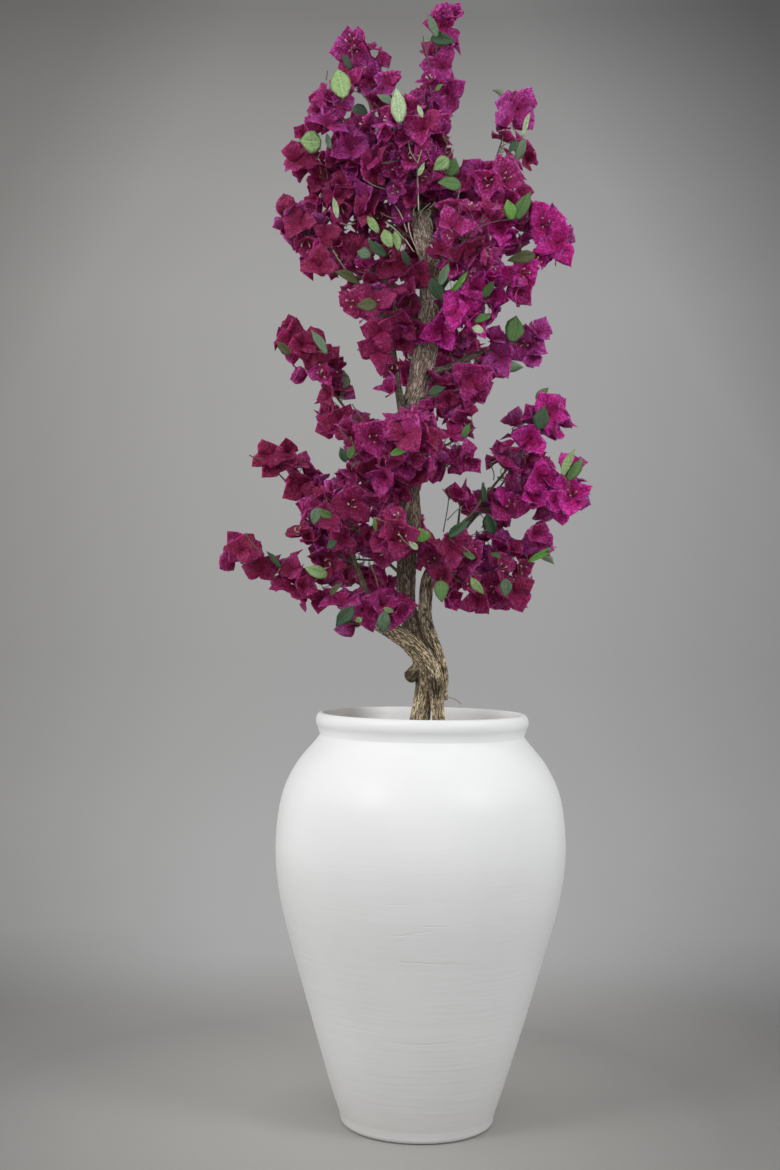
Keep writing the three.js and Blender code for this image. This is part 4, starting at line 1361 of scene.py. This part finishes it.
wired("leaf_stalks", bent_lines(starts, ends, 5, 14, 5), stalk_radii, 3, [twig_green])

# Bare wires. Coated wires without a flower stand out at a few tips and round the stem's cut top,
# which has splinters. They are bound in with the sprays, and each is given as it is seen in front.
front_wires = [
    ("wire_pale", [
        [(-39, 1684), (-38, 1641), (-31, 1610), (-18, 1585)],
        [(-68, 1679), (-51, 1653), (-40, 1622)], [(-23, 1741), (-21, 1701), (-19, 1661)],
        [(-17, 1659), (2, 1676)], [(1, 1667), (12, 1678)],
    ]),
    ("splinter", [
        [(-37, 1650), (-34, 1668), (-36, 1684)], [(-29, 1652), (-28, 1664), (-24, 1671)],
        [(-16, 1652), (-14, 1661), (-8, 1667)], [(-4, 1646), (2, 1658), (0, 1665), (-6, 1662)],
        [(1, 1648), (5, 1640), (7, 1628)], [(3, 1600), (8, 1590), (7, 1578)],
    ]),
    ("wire_pale", [
        [(-80, 1640), (-62, 1627), (-45, 1609)], [(-43, 1609), (-27, 1586)],
    ]),
    ("twig_green", [
        [(-6, 1663), (-1, 1654), (3, 1636)], [(-90, 1658), (-73, 1649), (-59, 1648)],
        [(-163, 1637), (-148, 1634), (-135, 1637)], [(41, 1095), (55, 1110), (68, 1121)],
        [(-122, 1720), (-102, 1707), (-79, 1700)], [(-40, 1789), (-35, 1769), (-22, 1749)],
        [(-22, 1749), (-15, 1774)], [(-175, 1587), (-164, 1569), (-149, 1549)],
        [(-101, 1016), (-90, 993), (-82, 965)],
    ]),
    ("twig_brown", [
        [(-104, 1744), (-79, 1697), (-66, 1677)], [(-128, 1879), (-103, 1844)],
        [(-323, 1209), (-310, 1203), (-297, 1202)], [(-328, 1066), (-312, 1044), (-293, 1028)],
        [(34, 1073), (42, 1122), (43, 1155)], [(32, 1152), (46, 1132)],
        [(-136, 1305), (-125, 1288), (-112, 1272)], [(-159, 1259), (-146, 1246), (-135, 1237)],
        [(76, 1063), (96, 1072), (114, 1078)], [(-192, 1900), (-190, 1916)],
        [(-16, 1983), (-10, 1957), (-2, 1924)], [(1, 1976), (-8, 1957)],
        [(118, 1200), (125, 1182), (125, 1169)], [(118, 1200), (130, 1206)],
    ]),
    ("twig_dark", [
        [(60, 1083), (83, 1105), (100, 1129), (107, 1164)],
    ]),
    ("wire_tan", [
        [(43, 773), (49, 771), (56, 769), (63, 766), (71, 759)],
    ]),
]
wire_tan = coated("wire_tan", (0.22, 0.16, 0.09), (0.52, 0.41, 0.26), 0.8, 160, 3.0)
wire_pale = coated("wire_pale", (0.30, 0.36, 0.22), (0.55, 0.57, 0.44), 0.7, 160, 3.0)
wire_kinds = {
    "twig_green": (0, 1.3), "twig_brown": (1, 1.2), "twig_dark": (1, 2.4), "wire_tan": (2, 1.0),
    "wire_pale": (3, 1.4), "splinter": (3, 2.2),
}
before_cut_top, beside_foot, crown_foot = -34, -6, 800
wires, wire_radii, wire_paints = [], [], []
for kind, seen_line in [(kind, line) for kind, lines in front_wires for line in lines]:
    middle_x, middle_z = seen_line[len(seen_line) // 2]
    depth, _ = front_depth(middle_x, middle_z, 8)
    if -100 < middle_x < 50 and 1570 < middle_z < 1700:
        depth = before_cut_top
    if middle_z < crown_foot:
        depth = beside_foot
    corners = [placed_at(x, z, depth + 3 * k) for k, (x, z) in enumerate(seen_line)]
    paint, radius = wire_kinds[kind]
    wires.append(through(corners, np.linspace(0, 1, 9)))
    wire_radii.append(np.linspace(radius, radius * (0.3 if kind == "splinter" else 0.8), 9))
    wire_paints.append(paint)
wire_finishes = [twig_green, twig_brown, wire_tan, wire_pale]
wired("bare_wires", wires, wire_radii, 6, wire_finishes, (), wire_paints)

# Studio. A pale grey floor that fades into an even grey surround. Light and shade are painted on
# the floor: a soft pool of painted light left of the urn and behind it, and painted shade round it,
# to the front and to the right. Two soft lights stand in front, to the left and the right, and
# broad ones at the sides, above and behind the camera, which is 3 m in front of the urn.
floor = bmesh.new()
bmesh.ops.create_circle(floor, cap_ends=True, segments=96, radius=6)
bmesh.ops.translate(floor, verts=floor.verts, vec=(0, 0, -0.0004))
floor_piece = bpy.data.objects.new("floor", meshed(floor, "floor"))
bpy.context.scene.collection.objects.link(floor_piece)
floor_grey, shader, place = new_finish("floor_grey", (0.34, 0.335, 0.33), 0.85)
floor_piece.data.materials.append(floor_grey)
# Painted light and shade: brighter round a point left of the urn and behind it, darker away from
# it.
painted_light_falloff = between(away_from(place, (-0.13, 0.05, 0)), 0.20, 0.70)
tone = blended(painted_light_falloff, (0.40, 0.39, 0.375), (0.255, 0.25, 0.242))
sideways, behind = part_of(place, 0), between(part_of(place, 1), 0.15, 0.70)
# Painted light on the floor behind the urn, and painted shade far to the right.
glow = behind * (1 - between(abs(sideways), 0.20, 0.78)) * 0.38
gloom = between(sideways, 0.50, 0.80) * 0.14
lay(shader, {"Base Color": dimmed(tone, glow - gloom + 1.0)})
fade = between(away_from(place, (0, 0, 0)), 0.55, 1.55, smooth=True)
clear = place.node("ShaderNodeBsdfTransparent", {}, {})
surface = fade.node("ShaderNodeMixShader", {}, {0: fade, 1: Shade(shader.outputs[0]), 2: clear})
output = floor_grey.node_tree.nodes["Material Output"]
floor_grey.node_tree.links.new(surface.socket, output.inputs["Surface"])

surround = bpy.data.worlds.new("surround")
surround.use_nodes = True
bpy.context.scene.world = surround
background = surround.node_tree.nodes["Background"]
direction = Shade(surround.node_tree.nodes.new("ShaderNodeTexCoord").outputs["Generated"])
aside, ahead, lift = (part_of(direction, axis) for axis in range(3))
level = direction.node("ShaderNodeValToRGB", {"stops": (
    (0.00, 0.36), (0.14, 0.395), (0.19, 0.39), (0.26, 0.365), (0.33, 0.35), (0.49, 0.365),
    (0.60, 0.37), (0.68, 0.335), (0.74, 0.28), (0.80, 0.20), (0.90, 0.22), (1.00, 0.28),
)}, {"Fac": between(lift, -0.3, 0.5)})
off_axis = abs(aside + 0.005) * (1 + between(0 - lift, 0.12, 0.24) * 0.3)
near_axis = between(off_axis, 0.06, 0.36, 1.0, 0.0, smooth=True) * between(ahead, 0.0, 0.5)
far = 0.65 - between(ahead, 0.3, 0.8) * 0.05
patch = near_axis + far * (1 - near_axis)
in_front = between(ahead, 0.74, 0.88)
low_corners = between(0 - lift, 0.19, 0.235) * between(abs(aside), 0.10, 0.26) * 0.30
right_corner = between(aside * 1.6 + lift, 0.44, 0.66) * 0.42
left_corner = between(lift - aside * 1.6, 0.48, 0.60) * 0.17
for darker in (right_corner, left_corner, low_corners):
    patch = patch * (1 - darker * in_front)
warmth = between(0 - aside + lift * 0.5, 0.0, 0.45)
level = blended(warmth, level, (1.0, 0.975, 0.925), "MULTIPLY")
surround_colour = blended(patch, (0, 0, 0), level)
background.inputs["Strength"].default_value = 1.0
surround.node_tree.links.new(surround_colour.socket, background.inputs["Color"])

for name, position, target, width, height, power in (
    ("light_left", (-1.86, -1.9, 2.38), (0, 0, 0.95), 0.9, 0.9, 30),
    ("light_right", (1.95, -1.8, 2.35), (0, 0, 0.95), 0.9, 0.9, 24),
    ("panel_left", (-2.3, 0.2, 1.25), (0, 0.2, 1.25), 3.0, 2.3, 22),
    ("panel_right", (2.3, 0.2, 1.25), (0, 0.2, 1.25), 3.0, 2.3, 17.5),
    ("light_above", (0, 0, 3.4), (0, 0.01, 0), 4.5, 4.5, 50),
    ("light_front", (0, -3.6, 1.5), (0, 0, 1.2), 3.2, 1.8, 31),
):
    lamp = bpy.data.lights.new(name, "AREA")
    lamp.shape = "RECTANGLE"
    lamp.size, lamp.size_y = width, height
    lamp.energy = power
    holder = bpy.data.objects.new(name, lamp)
    holder.location = position
    aim = Vector(target) - Vector(position)
    holder.rotation_euler = aim.to_track_quat("-Z", "Y").to_euler()
    holder.visible_camera = False
    bpy.context.scene.collection.objects.link(holder)

lens = bpy.data.cameras.new("camera")
lens.sensor_fit = "VERTICAL"
lens.sensor_height = 36
lens.lens = 50.5
camera = bpy.data.objects.new("camera", lens)
bpy.context.scene.collection.objects.link(camera)
camera.location = eye * mm
camera_rise, camera_roll = 0.0116, 0.014
camera.rotation_mode = "ZYX"
camera.rotation_euler = (math.pi / 2 + camera_rise, 0, camera_roll)
bpy.context.scene.camera = camera
bpy.context.scene.view_settings.view_transform = "Standard"
